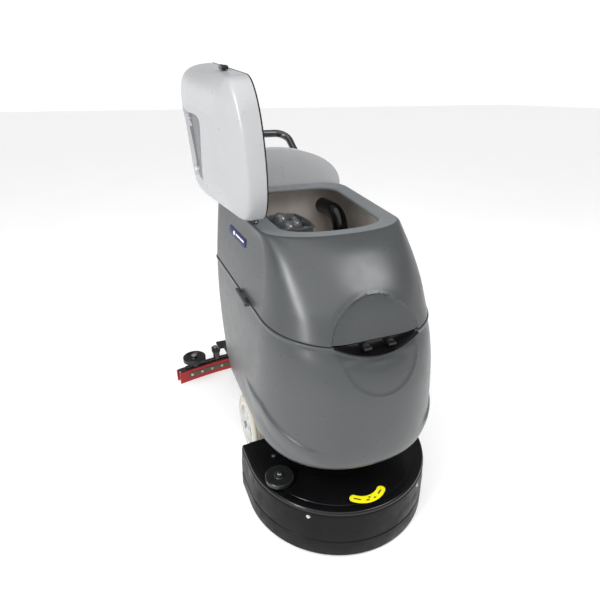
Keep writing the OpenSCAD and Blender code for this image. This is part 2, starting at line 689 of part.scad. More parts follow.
wheel_in = 168;
wheel_w = 44;
hub_r = 77;
module wheel_place(s) {
    translate([0, nose_y + axle_back, wheel_r]) mirror([s < 0 ? 1 : 0, 0, 0]) translate([wheel_in, 0, 0])
        rotate([0, 90, 0]) children();
}
module wheel_hub() {
    difference() {
        union() {
            cylinder(h = wheel_w, r = hub_r);
        }
        translate([0, 0, wheel_w - 14]) cylinder(h = 20, r = hub_r - 9);
        translate([0, 0, -1]) cylinder(h = 15, r = hub_r - 9);
        translate([0, 0, -10]) cylinder(h = 80, r = 10 + fit);
        for (a = [0 : 60 : 300]) rotate([0, 0, a]) translate([44, 0, -5]) cylinder(h = 60, r = 14);
    }
    difference() {
        translate([0, 0, -6]) cylinder(h = wheel_w + 6, r = 22);
        translate([0, 0, -10]) cylinder(h = 80, r = 10 + fit);
    }
}
module tyre() {
    rotate_extrude($fn = 96) polygon([[hub_r, 0], [wheel_r - 5, 0], [wheel_r, 6], [wheel_r, wheel_w - 6],
                                      [wheel_r - 5, wheel_w], [hub_r, wheel_w]]);
}
module left_wheel_hub() { color("gainsboro") wheel_place(-1) wheel_hub(); }
module left_tyre() { color("wheat") wheel_place(-1) tyre(); }
module right_wheel_hub() { color("gainsboro") wheel_place(1) wheel_hub(); }
module right_tyre() { color("wheat") wheel_place(1) tyre(); }

caster_trail = 24;
module caster_fork(s) {
    color(steel) translate([s * caster_x, nose_y + caster_back, 0]) {
        translate([0, 0, 96]) cylinder(h = 60, r = 6);
        translate([0, 0, 92]) cylinder(h = 11.5, r = 20);
        for (x = [-20, 16]) translate([x, -18, 0]) {
            translate([0, 0, 60]) cube([4, 36, 33]);
            hull() {
                translate([0, 18, 64]) rotate([0, 90, 0]) cylinder(h = 4, r = 16, $fn = 32);
                translate([0, 18 + caster_trail, caster_r]) rotate([0, 90, 0]) cylinder(h = 4, r = 10, $fn = 32);
            }
        }
        translate([-20, -18, 88]) cube([40, 36, 6]);
        translate([-22, caster_trail, caster_r]) rotate([0, 90, 0]) cylinder(h = 44, r = 4);
    }
}
module caster_wheel(s) {
    color([0.3, 0.3, 0.3]) translate([s * caster_x, nose_y + caster_back + caster_trail, caster_r])
        rotate([0, 90, 0]) difference() {
            union() {
                cylinder(h = 26, r = caster_r, center = true, $fn = 96);
                cylinder(h = 30, r = 12, center = true);
            }
            cylinder(h = 60, r = 4 + fit, center = true);
        }
}
module left_caster_fork() { caster_fork(-1); }
module left_caster_wheel() { caster_wheel(-1); }
module right_caster_fork() { caster_fork(1); }
module right_caster_wheel() { caster_wheel(1); }

// Squeegee ------------------------------------------------------------------------------------

squeegee_back = 795;
swing_back = 722;
module squeegee_arc(half, r_in, r_out, z, h) {
    translate([0, nose_y + squeegee_back - squeegee_r, z]) rotate([0, 0, 90 - half])
        rotate_extrude(angle = 2 * half, $fn = 720) translate([r_in, 0]) square([r_out - r_in, h]);
}
module squeegee_arm() {
    color(black) translate([0, nose_y, 0]) difference() {
        union() {
            translate([-53.6, arm_back, arm_z]) rotate([0, 90, 0]) cylinder(h = 107.2, r = 16);
            translate([-72, arm_back, arm_z]) rotate([0, 90, 0]) cylinder(h = 144, r = 7);
            for (x = [-50, 38]) translate([x, arm_back, arm_z - 26]) cube([12, 104, 20]);
            translate([-50, arm_back + 92, 92]) cube([100, 60, 12]);
            translate([-50, arm_back + 92, 92]) cube([100, 12, 32]);
        }
        translate([0, swing_back, 80]) cylinder(h = 40, r = 9 + fit);
    }
}
module squeegee_frame() {
    color(black) difference() {
        union() {
            squeegee_arc(squeegee_half - 0.2, squeegee_r - 14, squeegee_r + 14, 30, 26);
            squeegee_arc(squeegee_half - 1.5, squeegee_r - 8, squeegee_r + 8, 55, 8);
            translate([0, nose_y, 0]) {
                // tongue under the arm, with the swing pin
                translate([-38, swing_back - 24, 72]) cube([76, squeegee_back - swing_back + 24, 12]);
                translate([-38, squeegee_back - 16, 52]) cube([76, 16, 32]);
                translate([0, swing_back, 80]) cylinder(h = 34, r = 9);
                translate([0, swing_back, 108]) cylinder(h = 5, r = 15);
                // roller arms and the clamp towers
                for (s = [-1, 1]) {
                    translate([s * 300, 760, 60]) cylinder(h = 24, r = 14);
                    translate([s * 300, 760, 80]) cylinder(h = 27, r = 5.95);
                    translate([s * 300, 760, 104.8]) cylinder(h = 4, r = 11);
                    translate([s * 200, 784, 60]) cylinder(h = 34, r = 15);
                }
                // suction spigot
                translate([0, 797, 54]) cylinder(h = 58, r = 23);
            }
        }
        translate([0, nose_y + 797, 20]) cylinder(h = 60, r = 11);
        translate([0, nose_y + 797, 66]) cylinder(h = 60, r = 17);
        for (s = [-1, 1]) translate([s * 200, nose_y + 784, 50]) cylinder(h = 60, r = 4.95);
    }
}
module front_blade() {
    color(red) squeegee_arc(squeegee_half, squeegee_r - 18.3, squeegee_r - 14.3, 0, 52);
}
module rear_blade() {
    color(red) squeegee_arc(squeegee_half, squeegee_r + 14.3, squeegee_r + 18.3, 0, 52);
}
module blade_bands() {
    color([0.45, 0.44, 0.36]) {
        squeegee_arc(squeegee_half - 1.6, squeegee_r - 20.2, squeegee_r - 18.6, 18, 20);
        squeegee_arc(squeegee_half - 1.6, squeegee_r + 18.6, squeegee_r + 20.2, 18, 20);
    }
}
module squeegee_knobs() {
    color(black) for (s = [-1, 1]) translate([s * 200, nose_y + 784, 0]) {
        translate([0, 0, 60]) cylinder(h = 40, r = 4.9);
        translate([0, 0, 94.4]) difference() {
            cylinder(h = 20, r = 19);
            for (a = [0 : 60 : 300]) rotate([0, 0, a]) translate([21, 0, -1]) cylinder(h = 30, r = 5);
        }
    }
}
module squeegee_roller(s) {
    color(black) translate([s * 300, nose_y + 760, 84.4]) difference() {
        cylinder(h = 20, r = 48, $fn = 96);
        translate([0, 0, -1]) cylinder(h = 30, r = 6);
    }
}
module left_squeegee_roller() { squeegee_roller(-1); }
module right_squeegee_roller() { squeegee_roller(1); }

// Operator's lever and pedal ------------------------------------------------------------------

lever_x = 30;
lever_z = 700;
module squeegee_lever() {
    color(black) translate([lever_x, nose_y + column_back, lever_z]) {
        translate([0, -16, 0]) rotate([-90, 0, 0]) cylinder(h = 24, r = 5.95);
        translate([0, 4, 0]) rotate([-90, 0, 0]) cylinder(h = 12, r = 18);
        hull() {
            translate([0, 6, 0]) rotate([-90, 0, 0]) cylinder(h = 8, r = 10, $fn = 32);
            translate([0, 6, -110]) rotate([-90, 0, 0]) cylinder(h = 8, r = 7, $fn = 32);
        }
        translate([0, 20, -118]) sphere(r = 15);
    }
}
module deck_pedal() {
    color(black) translate([0, nose_y, 0]) {
        translate([-192, 460, 185]) rotate([0, 90, 0]) cylinder(h = 64, r = 5);
        translate([-186, 460, 185]) rotate([0, 90, 0]) cylinder(h = 13.6, r = 14);
        translate([-184, 460, 178]) rotate([-5, 0, 0]) cube([8, 232, 14]);
        translate([-206, 684, 160]) cube([52, 52, 8]);
    }
}

chassis_frame();
solution_tank();
fill_bay();
transaxle();
traction_motor();
battery_tray();
batteries();
rear_column();
vacuum_motor();
suction_hose();
drain_hose();
drain_cap();
console_cowl();
control_panel();
battery_gauge();
circuit_breakers();
handle_bar();
recovery_tank();
vacuum_elbow();
float_cage();
debris_tray();
lid_hinge_pins();
float_ball();
lid();
lid_gasket();
deck_shell();
deck_skirt();
deck_bolts();
deck_guides();
brush_motor();
deck_roller();
drive_hub();
brush_block();
brush_bristles();
left_wheel_hub();
left_tyre();
right_wheel_hub();
right_tyre();
left_caster_fork();
left_caster_wheel();
right_caster_fork();
right_caster_wheel();
squeegee_arm();
squeegee_frame();
front_blade();
rear_blade();
blade_bands();
squeegee_knobs();
left_squeegee_roller();
right_squeegee_roller();
squeegee_lever();
deck_pedal();
key();
brush_button();
vacuum_button();
solution_button();
drive_bail();
speed_knob();
left_fill_cap();
right_fill_cap();
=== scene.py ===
"""Looks of the walk-behind floor scrubber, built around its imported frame.

Lengths are millimetres in the frame "behind the brush axis" (x, y, z), as in the part's source, and
become metres in the row frame when a mesh is made.
"""
import json
import math
import bmesh
import bpy
from mathutils import Matrix, Vector


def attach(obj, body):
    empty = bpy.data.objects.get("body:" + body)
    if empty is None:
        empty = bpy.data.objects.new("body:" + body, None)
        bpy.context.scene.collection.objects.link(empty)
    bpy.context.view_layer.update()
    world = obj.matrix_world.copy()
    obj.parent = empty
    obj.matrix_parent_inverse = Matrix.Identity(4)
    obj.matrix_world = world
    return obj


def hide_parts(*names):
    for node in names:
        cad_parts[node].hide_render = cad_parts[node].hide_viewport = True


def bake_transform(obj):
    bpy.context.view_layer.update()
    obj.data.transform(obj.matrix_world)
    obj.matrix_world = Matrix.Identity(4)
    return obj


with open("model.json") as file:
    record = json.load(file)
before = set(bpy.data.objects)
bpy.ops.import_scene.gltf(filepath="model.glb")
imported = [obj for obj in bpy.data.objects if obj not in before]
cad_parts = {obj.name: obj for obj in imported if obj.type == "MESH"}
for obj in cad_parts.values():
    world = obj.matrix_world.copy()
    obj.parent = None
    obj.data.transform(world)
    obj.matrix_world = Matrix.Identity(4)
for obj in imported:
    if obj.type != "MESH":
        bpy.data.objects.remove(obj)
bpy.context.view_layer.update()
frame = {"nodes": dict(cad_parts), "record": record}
nodes = frame["nodes"]

MM = 0.001
NOSE_Y = -290.0


def place(p):
    """A point in millimetres behind the brush axis, as metres in the row frame."""
    return Vector((p[0] * MM, (p[1] + NOSE_Y) * MM, p[2] * MM))


# Materials

def new_material(name):
    material = bpy.data.materials.new(name)
    material.use_nodes = True
    return material, material.node_tree, material.node_tree.nodes["Principled BSDF"]


def noise(tree, scale, detail=3.0, stretch=(1, 1, 1)):
    """A noise in object space. Its scale is in features a metre."""
    coordinates = tree.nodes.new("ShaderNodeTexCoord")
    mapping = tree.nodes.new("ShaderNodeMapping")
    mapping.inputs["Scale"].default_value = stretch
    texture = tree.nodes.new("ShaderNodeTexNoise")
    texture.inputs["Scale"].default_value = scale
    texture.inputs["Detail"].default_value = detail
    tree.links.new(coordinates.outputs["Object"], mapping.inputs["Vector"])
    tree.links.new(mapping.outputs["Vector"], texture.inputs["Vector"])
    return texture.outputs["Fac"]


def spread(tree, source, low, high, from_low=0.3, from_high=0.7):
    ranged = tree.nodes.new("ShaderNodeMapRange")
    ranged.inputs["From Min"].default_value = from_low
    ranged.inputs["From Max"].default_value = from_high
    ranged.inputs["To Min"].default_value = low
    ranged.inputs["To Max"].default_value = high
    tree.links.new(source, ranged.inputs["Value"])
    return ranged.outputs["Result"]


# sockets of a Mix node that mixes colours
MIX_FACTOR, MIX_FIRST, MIX_SECOND, MIX_RESULT = 0, 6, 7, 2


def blend_colours(tree, factor, first, second):
    mix = tree.nodes.new("ShaderNodeMix")
    mix.data_type = "RGBA"
    mix.inputs[MIX_FIRST].default_value = (*first, 1)
    mix.inputs[MIX_SECOND].default_value = (*second, 1)
    tree.links.new(factor, mix.inputs[MIX_FACTOR])
    return mix.outputs[MIX_RESULT]


def scaled(colour, factor):
    return tuple(min(1.0, c * factor) for c in colour)


# edge sharpness where wear starts and is full, and how much lighter it is
WORN_FROM, WORN_FULL, WORN_TINT = 0.52, 0.60, 2.2


def surface(name, colour, rough, vary=0.10, rough_vary=0.06, blotch=7.0, grain=700.0, bump=0.06,
            depth=0.0004, metallic=0.0, coat=0.0, coat_rough=0.08, specular=0.5, worn=0.0,
            stretch=(1, 1, 1)):
    """Plastic, paint or metal: blotches of colour, uneven gloss, fine grain, worn edges."""
    material, tree, shader = new_material(name)
    shader.inputs["Metallic"].default_value = metallic
    shader.inputs["Coat Weight"].default_value = coat
    shader.inputs["Coat Roughness"].default_value = coat_rough
    shader.inputs["Specular IOR Level"].default_value = specular
    blotches = spread(tree, noise(tree, blotch, 4.0, stretch), 0.0, 1.0)
    tint = blend_colours(tree, blotches, scaled(colour, 1 - vary), scaled(colour, 1 + vary))
    if worn:
        geometry = tree.nodes.new("ShaderNodeNewGeometry")
        edge = spread(tree, geometry.outputs["Pointiness"], 0.0, worn, WORN_FROM, WORN_FULL)
        over = tree.nodes.new("ShaderNodeMix")
        over.data_type = "RGBA"
        over.inputs[MIX_SECOND].default_value = (*scaled(colour, WORN_TINT), 1)
        tree.links.new(edge, over.inputs[MIX_FACTOR])
        tree.links.new(tint, over.inputs[MIX_FIRST])
        tint = over.outputs[MIX_RESULT]
    tree.links.new(tint, shader.inputs["Base Color"])
    gloss = spread(tree, noise(tree, blotch * 5, 5.0, stretch), rough - rough_vary,
                   rough + rough_vary)
    tree.links.new(gloss, shader.inputs["Roughness"])
    bumper = tree.nodes.new("ShaderNodeBump")
    bumper.inputs["Strength"].default_value = bump
    bumper.inputs["Distance"].default_value = depth
    tree.links.new(noise(tree, grain, 2.0, stretch), bumper.inputs["Height"])
    tree.links.new(bumper.outputs["Normal"], shader.inputs["Normal"])
    return material


TANK = surface("tank_plastic", (0.052, 0.056, 0.058), 0.30, vary=0.05, rough_vary=0.03, grain=160,
               bump=0.03)
# the rim's land: a slightly lighter grey than the tank, drawn about three times lighter still as
# painted light where it faces up
LAND_TONE_AND_LIGHT = surface("rim_plastic_and_painted_light", (0.150, 0.162, 0.170), 0.42, vary=0.05, grain=900, bump=0.12)
LIGHT = surface("light_plastic", (0.35, 0.355, 0.365), 0.30, vary=0.03, rough_vary=0.03, grain=160,
                bump=0.02, coat=0.15, coat_rough=0.2)
# a darker grey for the deepest faces of the lid's hand pocket: painted shade in the recess, as the
# lid is one plastic
POCKET_SHADE = surface("pocket_painted_shade", (0.13, 0.135, 0.145), 0.36, vary=0.06, grain=800, bump=0.08)
GLOSS_BLACK = surface("gloss_black", (0.0035, 0.0035, 0.004), 0.20, vary=0.3, rough_vary=0.06,
                      blotch=9, grain=260, bump=0.05, specular=0.35, worn=0.3)
BLACK = surface("black_plastic", (0.007, 0.007, 0.0075), 0.34, vary=0.2, grain=900, bump=0.12,
                specular=0.4, worn=0.3)
RUBBER = surface("black_rubber", (0.0045, 0.0045, 0.005), 0.40, vary=0.2, rough_vary=0.10, grain=400,
                 bump=0.06, specular=0.10)
ROLLER = surface("roller_plastic", (0.012, 0.0135, 0.0135), 0.30, vary=0.15, grain=500, bump=0.08,
                 specular=0.4)
PAINT = surface("frame_paint", (0.008, 0.008, 0.009), 0.20, vary=0.2, grain=420, bump=0.05, coat=0.6,
                coat_rough=0.05, worn=0.4)
STEEL = surface("bare_steel", (0.56, 0.56, 0.57), 0.28, vary=0.08, grain=600, bump=0.08, metallic=1.0,
                stretch=(1, 1, 14))
CASE = surface("battery_case", (0.05, 0.05, 0.056), 0.45, vary=0.12, grain=700, bump=0.15)
TRAY = surface("tray_plastic", (0.085, 0.09, 0.095), 0.16, vary=0.12, grain=300, bump=0.05, coat=0.4)
FLOAT = surface("float_plastic", (0.78, 0.77, 0.72), 0.25, vary=0.05, bump=0.04)
BLOCK = surface("brush_block", (0.52, 0.48, 0.36), 0.45, vary=0.08, bump=0.1)
BRISTLE = surface("bristle", (0.05, 0.10, 0.28), 0.55, vary=0.3, blotch=60, bump=0.1,
                  stretch=(1, 1, 0.1))
HUB = surface("hub_plastic", (0.60, 0.61, 0.60), 0.40, vary=0.05, bump=0.06)
TYRE = surface("tyre", (0.50, 0.47, 0.38), 0.62, vary=0.10, grain=600, bump=0.2)
CASTER = surface("caster_rubber", (0.16, 0.16, 0.165), 0.55, vary=0.12, grain=600, bump=0.15)
RED = surface("red_blade", (0.34, 0.008, 0.010), 0.34, vary=0.12, blotch=14, grain=500, bump=0.08)
BAND = surface("band_metal", (0.11, 0.10, 0.07), 0.36, vary=0.12, grain=500, bump=0.08, metallic=0.7,
               stretch=(0.1, 1, 1))
NAVY = surface("badge_navy", (0.004, 0.006, 0.075), 0.40, vary=0.08, bump=0.02, specular=0.25)
WHITE = surface("badge_white", (0.75, 0.76, 0.78), 0.3, vary=0.04, bump=0.02)
YELLOW = surface("label_yellow", (0.88, 0.80, 0.005), 0.42, vary=0.05, blotch=20, bump=0.04)
INK = surface("label_ink", (0.02, 0.02, 0.015), 0.5, vary=0.1, bump=0.02)
GREEN = surface("gauge_green", (0.03, 0.42, 0.08), 0.3, vary=0.05, bump=0.02)
AMBER = surface("gauge_amber", (0.75, 0.36, 0.02), 0.3, vary=0.05, bump=0.02)
INSIDE = surface("tank_inside", (0.52, 0.48, 0.44), 0.5, vary=0.16, blotch=10, grain=600, bump=0.2)

CAD_LOOKS = {
    "frame_paint": PAINT, "bare_steel": STEEL, "battery_case": CASE, "display": BLACK,
    "tray_plastic": TRAY, "float_plastic": FLOAT, "brush_block": BLOCK, "bristle": BRISTLE,
    "hub_plastic": HUB, "tyre": TYRE, "caster_rubber": CASTER, "red_blade": RED, "band_metal": BAND,
    "tank_plastic": TANK, "light_plastic": LIGHT, "black_plastic": BLACK, "black_rubber": RUBBER,
    "roller_plastic": ROLLER,
}
GLOSSY_NODES = ("vacuum_elbow", "fill_bay", "speed_knob")
for part in frame["record"]["subparts"]:
    look = CAD_LOOKS[part["material_slot"]]
    if part["node"] in GLOSSY_NODES:
        look = GLOSS_BLACK
    mesh = nodes[part["node"]].data
    mesh.materials.clear()
    mesh.materials.append(look)


# Mesh building

SHARP = math.radians(38)


def piece(name, verts, faces, look, body, slot, stands_for=(), looks=None, face_look=None):
    """A mesh from points in millimetres on a body. looks and face_look give more materials."""
    mesh = bpy.data.meshes.new(name)
    mesh.from_pydata([place(v) for v in verts], [], faces)
    obj = bpy.data.objects.new(name, mesh)
    bpy.context.scene.collection.objects.link(obj)
    for one in looks or [look]:
        mesh.materials.append(one)
    if face_look:
        for face in mesh.polygons:
            face.material_index = face_look(face)
    tidy_mesh(mesh)
    return settle(obj, body, slot, stands_for)


def tidy_mesh(mesh, sharp=SHARP):
    """Normals outwards, smooth shading and sharp edges."""
    work = bmesh.new()
    work.from_mesh(mesh)
    bmesh.ops.recalc_face_normals(work, faces=work.faces)
    work.to_mesh(mesh)
    work.free()
    mesh.shade_smooth()
    mesh.set_sharp_from_angle(angle=sharp)


def settle(obj, body, slot, stands_for=()):
    """Hang a piece on its body's empty and hide the nodes that it stands for. slot is not used."""
    if body:
        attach(obj, body)
    if stands_for:
        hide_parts(*stands_for)
    return obj


def applied(obj):
    """obj with its modifiers made final."""
    bpy.context.view_layer.update()
    evaluated = obj.evaluated_get(bpy.context.evaluated_depsgraph_get())
    final = bpy.data.meshes.new_from_object(evaluated)
    obj.modifiers.clear()
    obj.data = final
    return obj


def loft(rings, caps=True):
    """Points and faces of a skin through rings that have the same number of points."""
    n = len(rings[0])
    verts = [p for ring in rings for p in ring]
    faces = [(k * n + j, k * n + (j + 1) % n, (k + 1) * n + (j + 1) % n, (k + 1) * n + j)
             for k in range(len(rings) - 1) for j in range(n)]
    if caps:
        faces.append(tuple(range(n))[::-1])
        faces.append(tuple((len(rings) - 1) * n + j for j in range(n)))
    return verts, faces


def together(*parts):
    """Several (points, faces) as one."""
    verts, faces = [], []
    for more_verts, more_faces in parts:
        start = len(verts)
        verts.extend(more_verts)
        faces.extend(tuple(i + start for i in face) for face in more_faces)
    return verts, faces


def moved(part, matrix):
    """(points, faces) carried by a matrix."""
    return [tuple(matrix @ Vector(v)) for v in part[0]], part[1]


def turned(profile, steps=48, close=False):
    """A profile of (radius, height) turned about Z. close joins its ends, else they are capped."""
    rings = [[(r * math.cos(2 * math.pi * j / steps), r * math.sin(2 * math.pi * j / steps), z)
              for j in range(steps)] for r, z in profile]
    if close:
        rings.append(rings[0])
        verts, faces = loft(rings, caps=False)
        last = (len(rings) - 1) * steps
        faces = [tuple(i - last if i >= last else i for i in face) for face in faces]
        return verts[:last], faces
    return loft(rings)


def rounded_block(size, radius, steps=4):
    """A box with rounded upright edges and a soft rim top and bottom, centred on its middle."""
    sx, sy, sz = (s / 2 for s in size)
    soft = min(radius, sz) * 0.5
    rings = []
    for z, taken in ((-sz, soft), (-sz + soft * 0.3, soft * 0.3), (-sz + soft, 0), (sz - soft, 0),
                     (sz - soft * 0.3, soft * 0.3), (sz, soft)):
        one = []
        for cx, cy, start in ((1, 1, 0), (-1, 1, 90), (-1, -1, 180), (1, -1, 270)):
            for i in range(steps + 1):
                a = math.radians(start + 90 * i / steps)
                r = max(radius - taken, 0.2)
                one.append((cx * (sx - radius) + r * math.cos(a),
                            cy * (sy - radius) + r * math.sin(a), z))
        rings.append(one)
    return loft(rings)


def hex_bolt(radius, height, washer=1.5):
    """A chamfered hexagon head on a round washer."""
    corners = [math.radians(60 * j) for j in range(6)]
    head = [[(radius * k * math.cos(a), radius * k * math.sin(a), z) for a in corners]
            for z, k in ((washer, 1), (height * 0.85, 1), (height, 0.86))]
    plate = [(radius * 1.45, 0), (radius * 1.45, washer * 0.7), (radius * 1.35, washer)]
    return together(turned(plate, 24), loft(head))


def tube(path, radius, side=(1, 0.2, 0), count=24):
    """A tube along points. radius is a number or a function of the length along it."""
    points = [Vector(p) for p in path]
    turns = [2 * math.pi * j / count for j in range(count)]
    rings, run = [], 0.0
    for i, p in enumerate(points):
        run += (p - points[i - 1]).length if i else 0.0
        along = (points[min(i + 1, len(points) - 1)] - points[max(i - 1, 0)]).normalized()
        a = Vector(side).cross(along).normalized()
        b = along.cross(a)
        r = radius(run) if callable(radius) else radius
        rings.append([tuple(p + r * (a * math.cos(t) + b * math.sin(t))) for t in turns])
    return loft(rings)


def bezier(route, steps):
    """Points along a cubic curve."""
    p = [Vector(q) for q in route]
    points = []
    for i in range(steps + 1):
        t = i / steps
        u = 1 - t
        points.append(u ** 3 * p[0] + 3 * u * u * t * p[1] + 3 * u * t * t * p[2] + t ** 3 * p[3])
    return points


def smoothstep(low, high, value):
    t = min(1.0, max(0.0, (value - low) / (high - low)))
    return t * t * (3 - 2 * t)


def smooth_max(a, b, k):
    """The larger of two values, rounded over k."""
    h = min(1.0, max(0.0, 0.5 + 0.5 * (a - b) / k))
    return b + (a - b) * h + k * h * (1 - h)


# The tanks: sections as (height, y of the nose's centre, nose depth, half-width at the nose and
# at the back, y of the back)

NOSE_POWER = 2.25
CORNER_R = 58.0
RISE = 0.071
UNDER_H = 270.0
UNDER_RISE = -0.05
FULL_RISE_H = 630.0
SEAM_H = 640.0
RIM_H = 834.0


def signed_power(v, p):
    return math.copysign(abs(v) ** p, v)


def outline(row, corner=CORNER_R, nose=150, arc=10, side=26, rear=0):
    """The plan of one section: two rear corners, the sides and the superellipse nose."""
    _, y0, f, wf, wr, back = row
    r = min(corner, wr * 0.9)
    points = []
    for cx, start in ((wr - r, 0), (-wr + r, 90)):
        for i in range(arc + 1):
            a = math.radians(start + 90 * i / arc)
            points.append((cx + r * math.cos(a), back - r + r * math.sin(a)))
    points[arc + 1:arc + 1] = [((wr - r) * (1 - 2 * i / rear), back) for i in range(1, rear)]
    points += [(-wr + (wr - wf) * i / side, (back - r) + (y0 - back + r) * i / side)
               for i in range(1, side)]
    for i in range(nose + 1):
        a = math.pi - math.pi * i / nose
        points.append((wf * signed_power(math.cos(a), 2 / NOSE_POWER),
                       y0 - f * max(0.0, math.sin(a)) ** (2 / NOSE_POWER)))
    points += [(wf + (wr - wf) * i / side, y0 + (back - r - y0) * i / side) for i in range(1, side)]
    return points


def slope(h):
    """How much a section climbs towards the back."""
    if h >= FULL_RISE_H:
        return RISE
    return UNDER_RISE + (RISE - UNDER_RISE) * max(0.0, h - UNDER_H) / (FULL_RISE_H - UNDER_H)


def ring(row):
    """The points of one tank section."""
    return [(x, y, row[0] + slope(row[0]) * y) for x, y in outline(row)]


def inset(row, d, h=None):
    """A section drawn in by d, and moved to the height h."""
    top, y0, f, wf, wr, back = row
    return (top if h is None else h, y0, f - d, wf - d, wr - d, back - d)


def mix_rows(a, b, t):
    return tuple(p + (q - p) * t for p, q in zip(a, b))


def row_gap(a, b):
    return math.hypot(b[0] - a[0], max(abs(q - p) for p, q in zip(a[1:], b[1:])))


def bends(rows):
    """Sections whose corners are rounded as far as they go."""
    return [(row, None) for row in rows]


def rounded_chain(chain, steps=6, longest=7.0):
    """Sections along a chain of (section, corner length), where None is as long as fits."""
    rows = [chain[0][0]]
    for (a, _), (b, reach), (c, _) in zip(chain, chain[1:], chain[2:]):
        reach = 1e9 if reach is None else reach
        p = mix_rows(b, a, min(0.5, reach / row_gap(a, b)))
        q = mix_rows(b, c, min(0.5, reach / row_gap(b, c)))
        rows += [mix_rows(mix_rows(p, b, i / steps), mix_rows(b, q, i / steps), i / steps)
                 for i in range(steps + 1)]
    rows.append(chain[-1][0])
    full = [rows[0]]
    for a, b in zip(rows, rows[1:]):
        gap = row_gap(a, b)
        if gap < 0.05:
            continue
        parts = max(1, math.ceil(gap / longest))
        full += [mix_rows(a, b, i / parts) for i in range(1, parts + 1)]
    return full


LOWER = [(270, 0, 233, 224, 214, 292), (284, 0, 250, 243, 234, 345), (320, 0, 256, 249, 239, 388),
         (400, 0, 258, 247, 240, 424), (460, 0, 257, 242, 240, 444), (520, 0, 253, 238, 240, 454),
         (590, 0, 236, 232, 239, 457), (639, 0, 216, 226, 237, 457)]
UPPER = [(641, 0, 216, 226, 237, 457), (668, 0, 202, 220, 235, 457), (710, 0, 179, 213, 231, 457),
         (749, 6, 150, 206, 227, 457), (787, 24, 125, 200, 223, 457), (814, 46, 112, 197, 220, 457),
         (834, 72, 98, 200, 215, 454)]
UPPER_INSIDE = [(820, 60, 90, 176, 198, 440), (770, 34, 118, 190, 214, 448),
                (710, 10, 168, 204, 222, 448), (656, 0, 190, 212, 227, 448)]
MOUTH = (834, 78, 67, 144, 158, 405)
LIP_H = 825

# The eye-shaped fill bay under the seam, and the flat arch over it
BAY_HALF = 115.0
BAY_SAG = 30.0
BAY_R = (BAY_HALF ** 2 + BAY_SAG ** 2) / (2 * BAY_SAG)
BAY_TOP = 626.0
ARCH_Y = -201.0
ARCH_Z = 622.0
ARCH_LEAN = math.tan(math.radians(22))
ARCH_X, ARCH_HALF, ARCH_FOOT, ARCH_HEIGHT = 3.0, 120.0, 618.0, 107.0
ARCH_POWER = 1.85
ARCH_REACH = 165.0
ARCH_STEP, ARCH_BOWL, ARCH_BORDER = 5.0, 3.0, 1.3
ARCH_BLEND = 10.0
ARCH_WALL = 14.0


def beside_arch(p):
    return p[1] > 0 or abs(p[0]) > ARCH_REACH


def arch_face(z):
    """The leaning face that the tank's front is cut back to."""
    return ARCH_Y + ARCH_LEAN * (z - ARCH_Z)


def arch_cut(p):
    """The front is cut back to the leaning face, sunk inside an arch with a soft raised border."""
    x, y, z = p
    if beside_arch(p):
        return p
    u, v = abs(x - ARCH_X) / ARCH_HALF, max(0.0, z - ARCH_FOOT) / ARCH_HEIGHT
    inward = 1 - (u ** ARCH_POWER + v ** ARCH_POWER) ** (1 / ARCH_POWER)
    sunk = ARCH_STEP * smoothstep(0.0, 0.04, inward) + ARCH_BOWL * max(0.0, inward)
    border = ARCH_BORDER * math.exp(-((inward + 0.012) / 0.016) ** 2)
    return (x, smooth_max(y, arch_face(z), ARCH_BLEND) + sunk - border, z)


def behind_arch(p):
    """The inside wall keeps behind the arch's face."""
    x, y, z = p
    return p if beside_arch(p) else (x, max(y, arch_face(z) + ARCH_WALL), z)


def build_recovery_tank():
    """The upper tank: up its outside, over the rim's land and down its inside."""
    floor = UPPER_INSIDE[-1]
    chain = [(inset(UPPER[0], 10), 0), (UPPER[0], 3.0)] + bends(UPPER[1:-1])
    chain += [(UPPER[-1], 9.0), (MOUTH, 4.0), ((LIP_H,) + MOUTH[1:], 2.0)]
    chain += bends(UPPER_INSIDE[:-1]) + [(floor, 14.0), (inset(floor, 30), 0)]
    rows = rounded_chain(chain, longest=4.0)
    rim = next(i for i, row in enumerate(rows) if row[0] >= RIM_H - 1e-6)
    land_end = next(i for i, row in enumerate(rows) if i > rim and row[0] < LIP_H - 1)
    rings = [[(arch_cut if i <= rim else behind_arch)(p) for p in ring(row)]
             for i, row in enumerate(rows)]
    n = len(rings[0])

    # the rim's land gets the lighter grey, partly its own tone and partly painted light on the
    # upward-facing land
    def face_look(face):
        k = face.vertices[0] // n
        return 2 if k >= land_end else (1 if k >= rim - 1 else 0)

    piece("recovery_tank_shell", *loft(rings), TANK, "recovery", "tank_plastic", ["recovery_tank"],
          looks=[TANK, LAND_TONE_AND_LIGHT, INSIDE], face_look=face_look)


def bay_arc(x):
    """Height of the fill bay's lower edge."""
    return BAY_TOP + BAY_R - BAY_SAG - math.sqrt(BAY_R ** 2 - min(abs(x), BAY_HALF) ** 2)


# the shoulder low on the side, whose top line bends at FLARE_BEND
FLARE_OUT, FLARE_DEEP = 5.5, 62.0
FLARE_TOP, FLARE_BEND = 416.0, -54.0
FLARE_FALL_BACK, FLARE_FALL_FRONT = 0.08, 0.39
FLARE_ROUND = 260.0


def flare(p):
    """A soft shoulder low on the side, which fades out round the nose."""
    x, y, z = p
    if y > 120 or not 290 < z < 440:
        return p
    fall = (FLARE_FALL_BACK * (y - FLARE_BEND) if y > FLARE_BEND
            else FLARE_FALL_FRONT * (FLARE_BEND - y))
    line = FLARE_TOP - fall
    fade = smoothstep(-226, -196, y) * (1 - smoothstep(30, 110, y))
    under = 1 - smoothstep(line - 4, line + 3, z)
    out = FLARE_OUT * fade * under * smoothstep(line - FLARE_DEEP, line - 8, z)
    forward = max(0.0, -y) ** 2 / FLARE_ROUND
    length = math.hypot(x, forward) or 1.0
    return (x + out * x / length, y - out * forward / length, z)


DISH_X, DISH_Z, DISH_R = 5.0, 607.0, 103.0
DISH_DEEP, DISH_RIM = 3.2, 1.0


